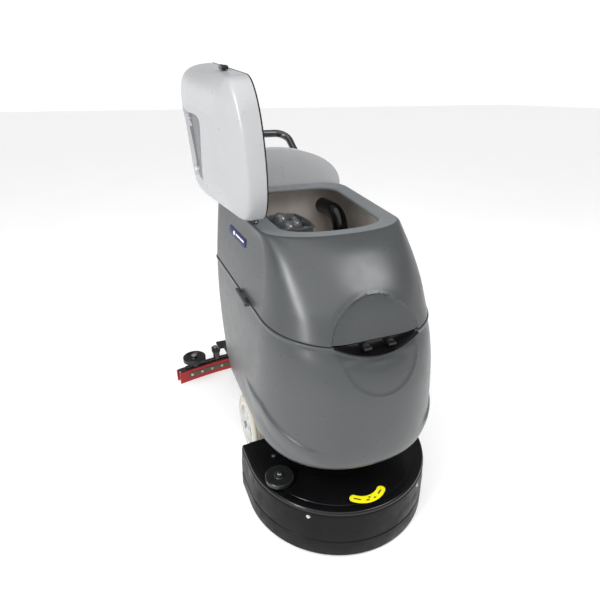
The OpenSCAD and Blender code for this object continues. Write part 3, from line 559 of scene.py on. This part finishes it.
def fill_lip(p, h):
    """The lower tank's top edge dips along the bay, over a shallow round dish."""
    x, y, z = p
    if y > -20:
        return p
    reach = smoothstep(545, 638, h)
    dip = max(0.0, SEAM_H - 1 + RISE * y - bay_arc(x) - 3.0) if abs(x) < BAY_HALF + 6 else 0.0
    z -= dip * reach
    out = math.hypot(x - DISH_X, z - DISH_Z)
    dish = DISH_DEEP * (1 - smoothstep(DISH_R - 4, DISH_R, out)) * (1 - smoothstep(580, 598, z))
    rim = DISH_RIM * math.exp(-((out - DISH_R - 1.5) / 2.2) ** 2) if z < 596 else 0.0
    return (x, y + dish - rim, z)


def build_solution_tank():
    """The lower tank: up its outside, over a raised lip and down its inside."""
    top = LOWER[-1]
    lip, wall, floor_h = 2.6, 9, 288
    chain = [(inset(LOWER[0], 24), 0), (LOWER[0], 10.0)] + bends(LOWER[1:-1])
    chain += [(inset(top, 0, 629), 4.0), (inset(top, -lip, 633), 2.0), (inset(top, -lip), lip),
              (inset(top, wall), 3.0)]
    chain += bends([inset(row, wall) for row in (LOWER[-2], LOWER[-3], LOWER[3])])
    chain += bends([inset(LOWER[2], 10)])
    chain += [(inset(LOWER[1], 14, floor_h), 6.0), (inset(LOWER[1], 40, floor_h), 0)]
    rows = rounded_chain(chain, longest=4.0)
    outer = next(i for i, row in enumerate(rows) if row[0] > top[0] - 1e-6)
    rings = []
    for i, row in enumerate(rows):
        one = [fill_lip(p, row[0]) for p in ring(row)]
        rings.append([flare(p) for p in one] if i <= outer else one)
    piece("solution_tank_shell", *loft(rings), TANK, "chassis", "tank_plastic", ["solution_tank"])


def side_x(y, z):
    """Half-width of the upper tank's side at a place along it."""
    h = z - RISE * y
    for a, b in zip(UPPER, UPPER[1:]):
        if a[0] <= h <= b[0]:
            row = mix_rows(a, b, (h - a[0]) / (b[0] - a[0]))
            return row[3] + (row[4] - row[3]) * (y - row[1]) / (row[5] - CORNER_R - row[1])
    return UPPER[-1][3]


def side_patch(name, y_from, y_to, z_mid, half, lift, look, ends=6.0):
    """A thin plate with rounded ends that lies on the tank's left side."""
    cells = 24
    rings = []
    for k in range(cells + 1):
        t = k / cells
        y = y_from + (y_to - y_from) * t
        edge = min(y - y_from, y_to - y) + 0.4
        round_part = math.sqrt(max(0.0, ends ** 2 - max(0.0, ends - edge) ** 2))
        h = half - ends + round_part if edge < ends else half
        one = []
        for v, out in ((-1, -0.6), (-1, lift * 0.7), (-0.94, lift),
                       (0.94, lift), (1, lift * 0.7), (1, -0.6)):
            z = z_mid + RISE * (y - y_from) + v * h
            one.append((-side_x(y, z) - out, y, z))
        rings.append(one)
    piece(name, *loft(rings), look, "recovery", "tank_plastic")


# The lid, drawn closed and turned open about its hinge

HINGE_X, HINGE_Y = -190.0, 90.0
HINGE_UP = 7.0
LATCH_Y = 176.0
LID_OPEN = math.radians(95)
LID_SHIFT = -8.0
LID_CORNER = 44.0
RISE_ANGLE = math.atan(RISE)
OPEN = (Matrix.Translation((HINGE_X, 0, RIM_H + HINGE_UP)) @ Matrix.Rotation(RISE_ANGLE, 4, "X")
        @ Matrix.Rotation(-LID_OPEN, 4, "Y") @ Matrix.Rotation(-RISE_ANGLE, 4, "X")
        @ Matrix.Translation((-HINGE_X, 0, -RIM_H - HINGE_UP)))
LID_OUTSIDE = [(4.5, 78, 88, 160, 172, 424), (34, 78, 88, 160, 172, 424), (62, 78, 84, 156, 168, 420),
               (86, 80, 73, 143, 155, 408), (100, 84, 54, 120, 132, 386), (107, 92, 26, 82, 94, 350)]
LID_INSIDE = [(101, 92, 23, 77, 89, 345), (94, 84, 49, 114, 126, 380), (81, 80, 67, 137, 149, 402),
              (60, 78, 78, 150, 162, 414), (34, 78, 82, 154, 166, 418), (4.5, 78, 82, 154, 166, 418)]
SEAL_FOOT = (1, 78, 88, 160, 172, 424)
CROWN = (-8.0, 215.0, 108.5)

# the crown falls towards the front from CROWN_BACK on
CROWN_FALL, CROWN_BACK = 0.10, 285.0

# the hand pocket: its middle and half-length across the lid, its front and back edges
POCKET_X, POCKET_HALF = -32.0, 97.0
POCKET_NEAR, POCKET_FAR, POCKET_SKEW = 172.0, 384.0, 0.4
POCKET_DEEP = 20.0
POCKET_POWER = 6.0
# the pocket depth past which faces take the darker grey: painted shade
POCKET_SHADE_DEPTH = 9.0


def pocket_depth(x, y):
    """The hand pocket in the lid's crown: a rounded oblong with a sloping end towards the hinge."""
    along = (x - POCKET_X) / POCKET_HALF
    near = POCKET_NEAR + (POCKET_X + POCKET_HALF - x) * POCKET_SKEW
    across = (y - (near + POCKET_FAR) / 2) / ((POCKET_FAR - near) / 2)
    out = (abs(along) ** POCKET_POWER + abs(across) ** POCKET_POWER) ** (1 / POCKET_POWER)
    return POCKET_DEEP * (1 - smoothstep(0.90, 1.0, out)) * smoothstep(-1.0, -0.62, along)


def crown_rings(edge, count, inside=0.0):
    """Rings from the lid's edge up to the middle of its crown."""
    cx, cy, top = CROWN
    rings = []
    for i in range(1, count + 1):
        s = 1 - i / (count + 0.5)
        rings.append([(cx + (x - cx) * s, cy + (y - cy) * s, k + (top - inside - k) * (1 - s * s))
                      for x, y, k in edge])
    return rings


def lid_rings(rows):
    return [[(x + LID_SHIFT, y, row[0]) for x, y in outline(row, LID_CORNER, rear=56)]
            for row in rows]


def opened(p):
    """A point of the closed lid, a height k over the rim, where it is with the lid open."""
    x, y, k = p
    k -= CROWN_FALL * max(0.0, CROWN_BACK - y) * smoothstep(30, 96, k)
    return tuple(OPEN @ Vector((x, y, RIM_H + k + RISE * y)))


def lid_chain(rows, longest=7.0):
    """Rounded sections between two plain ends."""
    return rounded_chain([(rows[0], 0)] + bends(rows[1:-1]) + [(rows[-1], 0)], longest=longest)


def build_lid():
    """Ceiling, down the inside, up the outside, over the crown."""
    up = lid_rings(lid_chain(LID_OUTSIDE, longest=3.0))
    crown = crown_rings(up[-1], 60)
    down = lid_rings(lid_chain(LID_INSIDE))
    ceiling = crown_rings(down[0], 12, inside=24.0)
    rings = ceiling[::-1] + down + up + crown
    depths, shaped = [], []
    for one in rings:
        sunk = [pocket_depth(x, y) * smoothstep(80, 98, k) for x, y, k in one]
        depths += sunk
        shaped.append([opened((x, y, k - d)) for (x, y, k), d in zip(one, sunk)])
    # the pocket's deepest faces get the darker grey: painted shade
    piece("lid_shell", *loft(shaped), LIGHT, "tank_lid", "light_plastic", ["lid"],
          looks=[LIGHT, POCKET_SHADE],
          face_look=lambda face: int(min(depths[v] for v in face.vertices) > POCKET_SHADE_DEPTH))


def build_latch():
    """The latch on the lid's free side."""
    for name, size, radius, x, up, look in (("lid_latch", (9, 44, 16), 4, 162, 26, BLACK),
                                            ("lid_latch_grip", (5, 30, 5), 2, 165.5, 30, RUBBER)):
        spot = Matrix.Translation((x, LATCH_Y, RIM_H + up + RISE * LATCH_Y))
        piece(name, *moved(moved(rounded_block(size, radius), spot), OPEN), look, "tank_lid",
              "black_plastic")


def build_lid_hinge():
    """Two hinges: two knuckles on the lid, one on the tank between them."""
    parts = {"tank_lid": [], "recovery": []}
    hinge = (Matrix.Translation((HINGE_X, HINGE_Y, RIM_H + RISE * HINGE_Y + HINGE_UP))
             @ Matrix.Rotation(RISE_ANGLE, 4, "X"))
    barrel = turned([(6.4, 0), (7, 0.6), (7, 29.4), (6.4, 30)], 32)
    for start in (20, 230):
        for i in range(3):
            body = "recovery" if i == 1 else "tank_lid"
            spot = hinge @ Matrix.Translation((0, start + i * 30.3, 0))
            parts[body].append(moved(barrel, spot @ Matrix.Rotation(-math.pi / 2, 4, "X")))
            if body == "recovery":
                leaf, at = (12, 30, 13), (0, 15, -6.5)
            else:
                leaf, at = (27, 30, 7), (13.5, 15, 1.4)
            parts[body].append(moved(rounded_block(leaf, 1.5), spot @ Matrix.Translation(at)))
    for body, some in parts.items():
        verts, faces = together(*some)
        if body == "tank_lid":
            verts = [tuple(OPEN @ Vector(v)) for v in verts]
        piece(body + "_knuckles", verts, faces, BLACK, body, "black_plastic")


def build_gasket():
    """The seal under the lid's edge, a closed band."""
    gasket = lid_rings([inset(SEAL_FOOT, 1), inset(SEAL_FOOT, -0.4, 2.2), inset(SEAL_FOOT, -0.4, 4.4),
                        inset(SEAL_FOOT, 9, 4.6), inset(SEAL_FOOT, 9)])
    n = len(gasket[0])
    last = (len(gasket) - 1) * n
    verts, faces = loft([[opened(p) for p in one] for one in gasket], caps=False)
    faces += [(last + j, last + (j + 1) % n, (j + 1) % n, j) for j in range(n)]
    piece("lid_seal", verts, faces, RUBBER, "tank_lid", "black_rubber", ["lid_gasket"])


# The scrub deck

SIDE_BACK, SIDE_STEPS = 88.0, 8
TAIL_Y = 148
ROLLER_X, ROLLER_Y = -210, -86


def around_deck(profile, steps=120):
    """A profile of (radius, height) points led round the deck's front and along its sides."""
    rings = []
    for i in range(-SIDE_STEPS, steps + SIDE_STEPS + 1):
        one = []
        for r, z in profile:
            if i < 0 or i > steps:
                side = -1 if i < 0 else 1
                over = -i / SIDE_STEPS if i < 0 else (i - steps) / SIDE_STEPS
                one.append((side * r, SIDE_BACK * over, z))
            else:
                a = math.pi + math.pi * i / steps
                one.append((r * math.cos(a), r * math.sin(a), z))
        rings.append(one)
    return loft(rings)


def arc_points(cx, cz, r, start, end, steps=5):
    """Points of an arc between two angles in degrees."""
    turns = [math.radians(start + (end - start) * i / steps) for i in range(steps + 1)]
    return [(cx + r * math.cos(a), cz + r * math.sin(a)) for a in turns]


def build_deck():
    outer = [(268.4, 8.6), (269, 8)] + arc_points(273, 10, 2, 270, 360, 4) + [(275, 44), (274.7, 56)]
    outer += [(273.2, 57.5), (273.0, 60.5), (274.3, 62), (274, 100), (271.4, 140)]
    outer += arc_points(269.6, 149, 2, 10, 90, 4)
    outer += [(266, 151), (259.5, 151), (259, 150.5), (259, 146)]
    outer += [(265, 146), (268.2, 100), (268.6, 58)]
    piece("deck_skirt_moulding", *around_deck(outer), RUBBER, "deck", "black_rubber", ["deck_skirt"])
    top = [(24, 160), (262, 156.5), (265.6, 154), (265.6, 151.4), (270, 151.4)]
    top += arc_points(264, 155, 6, 0, 85, 6) + [(248, 161.6)]
    top += arc_points(246, 162.6, 1.2, 300, 90, 4)
    top += [(160, 164.2), (24, 165)]
    dome = around_deck(top)
    tail = moved(rounded_block((292, 124, 5), 2), Matrix.Translation((0, TAIL_Y, 162.6)))
    sides = [moved(rounded_block((4, 122, 42), 1), Matrix.Translation((x, TAIL_Y, 141)))
             for x in (-144, 144)]
    back = moved(rounded_block((292, 4, 42), 1), Matrix.Translation((0, 207, 141)))
    plug = turned([(24.5, 160), (24.5, 165)], 48)
    ribs = [moved(rounded_block((6, 104, 5), 2), Matrix.Translation((x, TAIL_Y, 167)))
            for x in (-90, -30, 30, 90)]
    boss = moved(turned([(15, 158), (15, 165.4), (14, 166)], 32),
                 Matrix.Translation((ROLLER_X, ROLLER_Y, 0)))
    piece("deck_shell_moulding", *together(dome, tail, *sides, back, plug, *ribs, boss), GLOSS_BLACK,
          "deck", "black_plastic", ["deck_shell"])


LABEL = Matrix.Translation((-7, -177, 163.9))
LABEL_R, LABEL_W = 61.5, 11.5
LABEL_HALF, LABEL_END = 44.0, 9


def build_label():
    """A plain crescent with round ends and a few dashes."""
    rings = []
    for i in range(61):
        t = -1 + 2 * i / 60
        a = math.radians(-90 + (LABEL_HALF + LABEL_END) * t)
        past = max(0.0, abs(t) * (LABEL_HALF + LABEL_END) - LABEL_HALF) / (LABEL_END + 0.5)
        w = LABEL_W * math.sqrt(max(0.02, 1 - past ** 2))
        section = ((LABEL_R - w, 0), (LABEL_R - w + 0.3, 0.7),
                   (LABEL_R + w - 0.3, 0.7), (LABEL_R + w, 0))
        rings.append([(r * math.cos(a), r * math.sin(a), h) for r, h in section])
    piece("deck_label", *moved(loft(rings), LABEL), YELLOW, "deck", "black_plastic")
    dashes = []
    for a, push, size in ((-34, 0, 20), (-8, 3, 9), (-1, -4, 7), (11, 3, 8), (33, 0, 18)):
        spot = (LABEL @ Matrix.Rotation(math.radians(a - 90), 4, "Z")
                @ Matrix.Translation((LABEL_R + push, 0, 0.8)))
        dashes.append(moved(rounded_block((3.6, size, 0.8), 1.5), spot))
    piece("deck_label_marks", *together(*dashes), INK, "deck", "black_plastic")


def build_deck_fittings():
    """The deck's bolts and its wall roller."""
    head = turned([(6, 0), (6, 1), (4.4, 1.3), (4.4, 2.6), (3.6, 3.6), (1, 4)], 24)
    bolts = [moved(head, Matrix.Rotation(math.radians(a), 4, "Z")
                   @ Matrix.Translation((270.6, 0, 136)) @ Matrix.Rotation(math.pi / 2, 4, "Y"))
             for a in (-130, -56)]
    bolts.append(moved(hex_bolt(7, 9, 2), Matrix.Translation((ROLLER_X, ROLLER_Y, 180))))
    bolts += [moved(hex_bolt(6, 7, 2), Matrix.Translation((x, 6, 161))) for x in (-196, 196)]
    piece("deck_bolt_heads", *together(*bolts), STEEL, "deck", "bare_steel", ["deck_bolts"])
    roller = turned([(5, 0), (38, 0), (40, 2), (40, 12), (38, 14), (30, 14.6), (26, 14.2), (16, 14.2),
                     (14.5, 15.8), (13, 16.5), (5, 16.5)], 72, close=True)
    piece("side_roller", *moved(roller, Matrix.Translation((ROLLER_X, ROLLER_Y, 166.5))), ROLLER,
          "side_roller", "roller_plastic", ["deck_roller"])


TUFT_ROWS, TUFT_FIRST_R, TUFT_ROW_STEP, TUFT_SPACING = 11, 76, 14.4, 15


def build_bristles():
    """Rings of tufts, splayed a little at the floor."""
    tufts = []
    for k in range(TUFT_ROWS):
        r = TUFT_FIRST_R + k * TUFT_ROW_STEP
        count = int(2 * math.pi * r / TUFT_SPACING)
        for j in range(count):
            a = 2 * math.pi * (j + 0.5 * (k % 2)) / count
            lean = 1 + 0.02 * math.sin(7 * a + k)
            rings = []
            for z, w, push in ((27, 3.2, 1.0), (14, 3.6, 1.0), (0.0, 4.4, lean)):
                rings.append([(r * push * math.cos(a) + w * math.cos(math.pi * i / 3),
                               r * push * math.sin(a) + w * math.sin(math.pi * i / 3), z)
                              for i in range(6)])
            tufts.append(loft(rings))
    piece("brush_tufts", *together(*tufts), BRISTLE, "brush", "bristle", ["brush_bristles"])


# Wheels

WHEEL_R = 100.0
AXLE_BACK = 252.0
WHEEL_IN = 168.0


def wheel_spot(s):
    """Where a wheel goes: s is -1 on the left, 1 on the right."""
    return (Matrix.Translation((0, AXLE_BACK, WHEEL_R)) @ Matrix.Scale(s, 4, (1, 0, 0))
            @ Matrix.Translation((WHEEL_IN, 0, 0)) @ Matrix.Rotation(math.pi / 2, 4, "Y"))


def build_tyres():
    crown = [(77, 0), (92, 0)] + arc_points(92, 8, 8, 270, 350, 5)
    for z in (11, 22, 33):
        crown += [(WHEEL_R, z - 1.6), (WHEEL_R - 2.2, z - 1.2),
                  (WHEEL_R - 2.2, z + 1.2), (WHEEL_R, z + 1.6)]
    crown += arc_points(92, 36, 8, 10, 90, 5) + [(77, 44)]
    for s, side in ((-1, "left"), (1, "right")):
        piece(side + "_tyre_ring", *moved(turned(crown, 120, close=True), wheel_spot(s)), TYRE,
              side + "_wheel", "tyre", [side + "_tyre"])


# Hoses

SUCTION = [(-180, 494, 745), (-180, 640, 745), (0, 797, 330), (0, 797, 115)]
DRAIN = [(-168, 486, 692), (-168, 540, 692), (-158, 528, 560), (-154, 522, 330)]
TANK_BACK = 455.4


def cuffed(length, cuff, plain, low, high, pitch):
    """Radius along a corrugated hose with plain cuffs."""
    def radius(run):
        if run < cuff or run > length - cuff:
            return plain
        return (low + high) / 2 + (high - low) / 2 * math.cos(2 * math.pi * run / pitch)
    return radius


def path_length(path):
    return sum((b - a).length for a, b in zip(path, path[1:]))


def build_suction_hose():
    path = bezier(SUCTION, 460)
    radius = cuffed(path_length(path), 34, 22.5, 18.4, 21.2, 8.5)
    hose = piece("suction_hose_tube", *tube(path, radius), RUBBER, None, "black_rubber",
                 ["suction_hose"])
    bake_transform(hose)


def build_drain_hose():
    """The drain hose, its clip and the neck of its cap."""
    path = bezier(DRAIN, 230)
    drain = tube(path, cuffed(path_length(path), 26, 16.5, 14.2, 16.4, 7.0))
    clip = moved(rounded_block((30, 30, 12), 3), Matrix.Translation((-128, 520, 427)))
    band = moved(turned([(14.6, 0), (19, 0.8), (19, 12.2), (14.6, 13)], 32, close=True),
                 Matrix.Translation((-156, 521.5, 420)))
    neck = moved(turned([(13, 0), (13, 14)], 32), Matrix.Translation((-154, 522, 319)))
    piece("drain_hose_tube", *together(drain, clip, band, neck), RUBBER, "chassis", "black_rubber",
          ["drain_hose"])


def build_spigots():
    """The two flanged spigots on the recovery tank's back."""
    for name, route, r, depth in (("suction_spigot", SUCTION, 21, 38),
                                  ("drain_spigot", DRAIN, 17, 30)):
        x, _, z = route[0]
        profile = [(r - 4, 0), (r + 8, 0), (r + 8, 4), (r + 1, 5.5), (r, 8), (r, depth),
                   (r - 4, depth)]
        spot = Matrix.Translation((x, TANK_BACK, z)) @ Matrix.Rotation(-math.pi / 2, 4, "X")
        piece(name, *moved(turned(profile, 40, close=True), spot), BLACK, "recovery", "black_plastic")


# Console

COWL_HALF, COWL_LOW, COWL_SPRING = 223.0, 841.0, 865.0
COWL_RISE, COWL_POWER = 112.0, 2.1
COWL_WALL, COWL_SOFT = 5.0, 9.0
PANEL_TILT = math.radians(30.5)
PANEL_Y, PANEL_Z = 634.0, 933.0
PANEL = Matrix.Translation((0, PANEL_Y, PANEL_Z)) @ Matrix.Rotation(-PANEL_TILT, 4, "X")


def prism(name, points, low, high, axis):
    """A temporary extrusion of a plan in the XZ or the YZ plane."""
    def at(p, d):
        return (p[0], d, p[1]) if axis == "Y" else (d, p[0], p[1])
    verts, faces = loft([[at(p, low) for p in points], [at(p, high) for p in points]])
    mesh = bpy.data.meshes.new(name)
    mesh.from_pydata([place(v) for v in verts], [], faces)
    tidy_mesh(mesh)
    obj = bpy.data.objects.new(name, mesh)
    bpy.context.scene.collection.objects.link(obj)
    return obj


def cowl_plans(d):
    """The cowl's front and side outlines, drawn in by d."""
    arch = []
    for i in range(97):
        a = math.pi * i / 96
        arch.append(((COWL_HALF - d) * signed_power(math.cos(a), 2 / COWL_POWER),
                     COWL_SPRING + (COWL_RISE - d) * max(0.0, math.sin(a)) ** (2 / COWL_POWER)))
    low = COWL_LOW - 2 * d
    arch += [(-COWL_HALF + d, low), (COWL_HALF - d, low)]
    side = [(460 + d, low), (463 + d, 868), (496 + d, 990), (PANEL_Y - 114, 990),
            (PANEL_Y - 82 - d / 2, 980 - d), (690 - d, 900 - d * 1.16), (690 - d, low)]
    return arch, side


def cut(obj, tool, operation):
    modifier = obj.modifiers.new(operation.lower(), "BOOLEAN")
    modifier.operation = operation
    modifier.object = tool
    modifier.solver = "EXACT"


def build_cowl():
    """The outside less the inside and the panel's window."""
    solids = []
    for d in (0.0, COWL_WALL):
        arch, side = cowl_plans(d)
        solid = prism("cowl_%d" % d, arch, 400, 700, "Y")
        tool = prism("cowl_side_%d" % d, side, -300, 300, "X")
        cut(solid, tool, "INTERSECT")
        if d == 0.0:
            bevel = solid.modifiers.new("soft", "BEVEL")
            bevel.width = COWL_SOFT * MM
            bevel.segments = 5
            bevel.limit_method = "ANGLE"
            bevel.angle_limit = math.radians(24)
        applied(solid)
        bpy.data.objects.remove(tool)
        solids.append(solid)
    cowl, hollow = solids
    window = bpy.data.objects.new("window", bpy.data.meshes.new("window"))
    verts, faces = moved(rounded_block((208, 72, 60), 8), PANEL @ Matrix.Translation((0, 0, 10)))
    window.data.from_pydata([place(v) for v in verts], [], faces)
    bpy.context.scene.collection.objects.link(window)
    cut(cowl, hollow, "DIFFERENCE")
    cut(cowl, window, "DIFFERENCE")
    applied(cowl)
    for tool in (hollow, window):
        bpy.data.objects.remove(tool)
    cowl.name = "console_cowl_shell"
    cowl.data.materials.clear()
    cowl.data.materials.append(LIGHT)
    tidy_mesh(cowl.data, math.radians(30))
    settle(cowl, "chassis", "light_plastic", ["console_cowl"])


PANEL_FACE = 4.6
BUTTONS_U, BUTTONS_V, KNOB_U = (-66, -34, -2), 14, 76


def on_panel(part, u, v, up=PANEL_FACE):
    """A part on the panel: u to the right, v up the slope."""
    return moved(part, PANEL @ Matrix.Translation((u, v, up)))


def build_panel():
    """Gauge bars, marks, screws and button rims."""
    bars = []
    for i in range(8):
        look = GREEN if i > 2 else (AMBER if i > 0 else RED)
        bars.append((on_panel(rounded_block((7, 13, 1.2), 1), -76 + i * 10.4, -16.5), look))
    for name, look in (("gauge_bars_full", GREEN), ("gauge_bars_low", AMBER),
                       ("gauge_bar_empty", RED)):
        lit = together(*[part for part, one in bars if one is look])
        piece(name, *lit, look, "chassis", "display")
    marks = [on_panel(rounded_block((12, 1.6, 0.6), 0.3), u, 27, 4.9) for u in (*BUTTONS_U, 36)]
    marks += [moved(rounded_block((1.6, 5, 0.6), 0.3), PANEL @ Matrix.Translation((KNOB_U, 0, 4.9))
                    @ Matrix.Rotation(math.radians(a), 4, "Z") @ Matrix.Translation((0, 23, 0)))
              for a in range(-135, 136, 30)]
    piece("panel_marks", *together(*marks), WHITE, "chassis", "display")
    screws = [on_panel(turned([(4, 0), (4, 1.4), (3, 2.4), (1, 2.4)], 20), u, v)
              for u in (-106, 106) for v in (-38, 38)]
    screws += [moved(turned([(6, 0), (6, 1.6), (4.4, 3), (1, 3)], 20),
                     Matrix.Translation((x, 583, z)) @ Matrix.Rotation(-math.pi / 2, 4, "X"))
               for x in (-96, 164) for z in (240, 520, 690, 825)]
    piece("panel_screws", *together(*screws), STEEL, "chassis", "bare_steel")
    rim = turned([(8.4, 0), (11, 0), (11, 1.4), (10, 2.2), (8.4, 2.2)], 32, close=True)
    rims = [on_panel(rim, u, BUTTONS_V) for u in BUTTONS_U]
    piece("button_rims", *together(*rims), STEEL, "chassis", "bare_steel")


# Squeegee

SQUEEGEE_R = 1406.0
SQUEEGEE_BACK = 795.0
BAND_OUT, BAND_BOLT_STEP = 20.2, 1.9
END_ROLLER = (300, 760)


def build_squeegee_fittings():
    """The bolts along both blade bands and on top, and the two end rollers."""
    bolts = []
    for side in (-1, 1):
        for i in range(-7, 8):
            a = math.radians(90 + i * BAND_BOLT_STEP)
            r = SQUEEGEE_R + side * BAND_OUT
            at = (r * math.cos(a), SQUEEGEE_BACK - SQUEEGEE_R + r * math.sin(a), 28)
            aim = Matrix.Rotation(a, 4, "Z") @ Matrix.Rotation(side * math.pi / 2, 4, "Y")
            bolts.append(moved(hex_bolt(4.2, 5.2), Matrix.Translation(at) @ aim))
    piece("squeegee_band_bolts", *together(*bolts), STEEL, "squeegee", "bare_steel")
    tops = []
    roller_x, roller_y = END_ROLLER
    for s in (-1, 1):
        tops.append(moved(hex_bolt(8, 8, 2), Matrix.Translation((s * roller_x, roller_y, 108.6))))
        tops.append(moved(hex_bolt(7, 7, 2), Matrix.Translation((s * 200, 784, 114.2))))
    piece("squeegee_top_bolts", *together(*tops), STEEL, "squeegee", "bare_steel")
    wheel = turned([(6, 0), (45, 0), (48, 2.5), (48, 17.5), (45, 20), (36, 20), (34, 17.5),
                    (18, 17.5), (16, 20), (6, 20)], 72, close=True)
    for s, side in ((-1, "left"), (1, "right")):
        spot = Matrix.Translation((s * roller_x, roller_y, 84.4))
        piece(side + "_squeegee_roller_disc", *moved(wheel, spot), BLACK, side + "_end_roller",
              "roller_plastic", [side + "_squeegee_roller"])


# The debris tray

TRAY_X, TRAY_Y, TRAY_Z = -26, 306, 722
TRAY_HALF_X, TRAY_HALF_Y = 62, 96
TRAY_SQUARE = 0.55
# its wall as (height, shares of the half-width and half-length), up outside and down inside
TRAY_WALL = [(0, 0.80, 0.86), (4, 0.84, 0.9), (30, 0.88, 0.93), (56, 0.9, 0.95), (60, 0.97, 0.99),
             (62.5, 0.98, 1.0), (65, 0.97, 0.99), (65, 0.9, 0.94), (60, 0.86, 0.92),
             (30, 0.84, 0.89), (5, 0.8, 0.85)]
# the strainer's lumps as (x, y, radius, height), and their common profile as shares of both
TRAY_DOMES = [(-50, 252, 30, 74), (-8, 300, 27, 66), (-40, 350, 34, 76), (8, 352, 20, 60),
              (4, 244, 19, 56)]
DOME = [(1, 0), (0.99, 0.3), (0.9, 0.6), (0.7, 0.84), (0.4, 0.97), (0.1, 1)]


def build_tray():
    """The debris tray with its domed strainer cover."""
    plan = []
    for j in range(72):
        a = 2 * math.pi * j / 72
        c, s = math.cos(a), math.sin(a)
        square = max(abs(c), abs(s)) ** TRAY_SQUARE
        plan.append((TRAY_HALF_X * c / square, TRAY_HALF_Y * s / square))
    walls = [[(TRAY_X + x * k, TRAY_Y + y * k2, TRAY_Z + z) for x, y in plan]
             for z, k, k2 in TRAY_WALL]
    domes = [moved(turned([(r * out, h * up) for out, up in DOME], 40),
                   Matrix.Translation((x, y, TRAY_Z + 5))) for x, y, r, h in TRAY_DOMES]
    piece("debris_tray_moulding", *together(loft(walls), *domes), TRAY, "recovery", "tray_plastic",
          ["debris_tray"])


TILT_X, TILT_Y, TILT_STEP = -240, 62.3, 31


def build_tank_trim():
    """The plain badge and the knuckles that the tank tips on."""
    side_patch("side_badge", 144, 283, 781, 12, 1.6, NAVY)
    side_patch("side_badge_line", 158, 224, 783, 2.2, 2.3, WHITE, ends=2.0)
    side_patch("side_badge_dot", 232, 246, 787.5, 5, 2.3, WHITE, ends=5.0)
    barrel = turned([(5.4, 0), (6, 0.6), (6, 29.8), (5.4, 30.4)], 32)
    sides = {"chassis": [], "recovery": []}
    for k, body in enumerate(("chassis", "recovery", "chassis")):
        y = TILT_Y + TILT_STEP * k
        spot = (Matrix.Translation((TILT_X, y, SEAM_H + RISE * y))
                @ Matrix.Rotation(RISE_ANGLE, 4, "X"))
        sides[body].append(moved(barrel, spot @ Matrix.Rotation(-math.pi / 2, 4, "X")))
        leaf = Matrix.Translation((8, 15.2, 3 if body == "recovery" else -3))
        sides[body].append(moved(rounded_block((14, 30.4, 5), 1.5), spot @ leaf))
    for body, some in sides.items():
        piece(body + "_tilt_knuckles", *together(*some), TANK, body, "tank_plastic")


build_recovery_tank()
build_solution_tank()
build_lid()
build_latch()
build_lid_hinge()
build_gasket()
build_deck()
build_label()
build_deck_fittings()
build_bristles()
build_tyres()
build_suction_hose()
build_drain_hose()
build_spigots()
build_cowl()
build_panel()
build_squeegee_fittings()
build_tray()
build_tank_trim()


# Stage, light and camera

FLOOR_HALF = 30
FLOOR_GLOW = 0.14


def stage_floor():
    """A pale floor that glows a little."""
    material, tree, shader = new_material("floor")
    tint = blend_colours(tree, spread(tree, noise(tree, 1.5), 0, 1), (0.93, 0.93, 0.93),
                         (0.96, 0.96, 0.96))
    tree.links.new(tint, shader.inputs["Base Color"])
    shader.inputs["Roughness"].default_value = 0.8
    shader.inputs["Emission Color"].default_value = (1, 1, 1, 1)
    shader.inputs["Emission Strength"].default_value = FLOOR_GLOW
    mesh = bpy.data.meshes.new("floor")
    corners = [(FLOOR_HALF * x, FLOOR_HALF * y, 0) for x, y in ((-1, -1), (1, -1), (1, 1), (-1, 1))]
    mesh.from_pydata(corners, [], [(0, 1, 2, 3)])
    mesh.materials.append(material)
    obj = bpy.data.objects.new("floor", mesh)
    bpy.context.scene.collection.objects.link(obj)


def add_light(name, kind, at, aim, power, size, long=(0, 0, 1)):
    """A light aimed at a point. size is an area's sides, the second along long, or a sun's angle."""
    light = bpy.data.lights.new(name, kind)
    light.energy = power
    if kind == "AREA":
        light.shape = "RECTANGLE"
        light.size, light.size_y = size
    else:
        light.angle = size
    back = (Vector(at) - Vector(aim)).normalized()
    up = (Vector(long) - back * back.dot(Vector(long))).normalized()
    obj = bpy.data.objects.new(name, light)
    turn = Matrix((up.cross(back), up, back)).transposed().to_4x4()
    obj.matrix_world = Matrix.Translation(at) @ turn
    bpy.context.scene.collection.objects.link(obj)


def studio_world(low, high):
    """White of strength low round the horizon, falling to high overhead."""
    world = bpy.data.worlds.new("studio")
    world.use_nodes = True
    tree = world.node_tree
    coordinates = tree.nodes.new("ShaderNodeTexCoord")
    split = tree.nodes.new("ShaderNodeSeparateXYZ")
    tree.links.new(coordinates.outputs["Generated"], split.inputs["Vector"])
    level = spread(tree, split.outputs["Z"], low, high, 0.16, 0.34)
    tree.nodes["Background"].inputs["Color"].default_value = (1, 1, 1, 1)
    tree.links.new(level, tree.nodes["Background"].inputs["Strength"])
    bpy.context.scene.world = world


stage_floor()
studio_world(low=1.05, high=0.22)
add_light("sun", "SUN", (-1.2, -1.4, 4.0), (0, 0, 0), 1.9, math.radians(80))
add_light("strip", "AREA", (-2.45, -1.40, 2.10), (-0.17, -0.40, 0.72), 66, (0.36, 2.2),
          (-0.46, -1.16, -1.72))
add_light("broad", "AREA", (1.5, -1.5, 3.1), (0, -0.4, 0.75), 40, (1.3, 1.2))

bpy.context.scene.view_settings.view_transform = "Standard"

# the camera that was fitted to the photograph
CAMERA_AT = (-0.5175, -1.2872, 1.1571)
CAMERA_TILT, CAMERA_TURN = 65.34, -22.05
camera = bpy.data.cameras.new("camera")
camera.lens = 27.6
camera.sensor_width = 36
view = bpy.data.objects.new("camera", camera)
view.location = CAMERA_AT
view.rotation_euler = (math.radians(CAMERA_TILT), 0, math.radians(CAMERA_TURN))
bpy.context.scene.collection.objects.link(view)
bpy.context.scene.camera = view

bpy.context.view_layer.update()
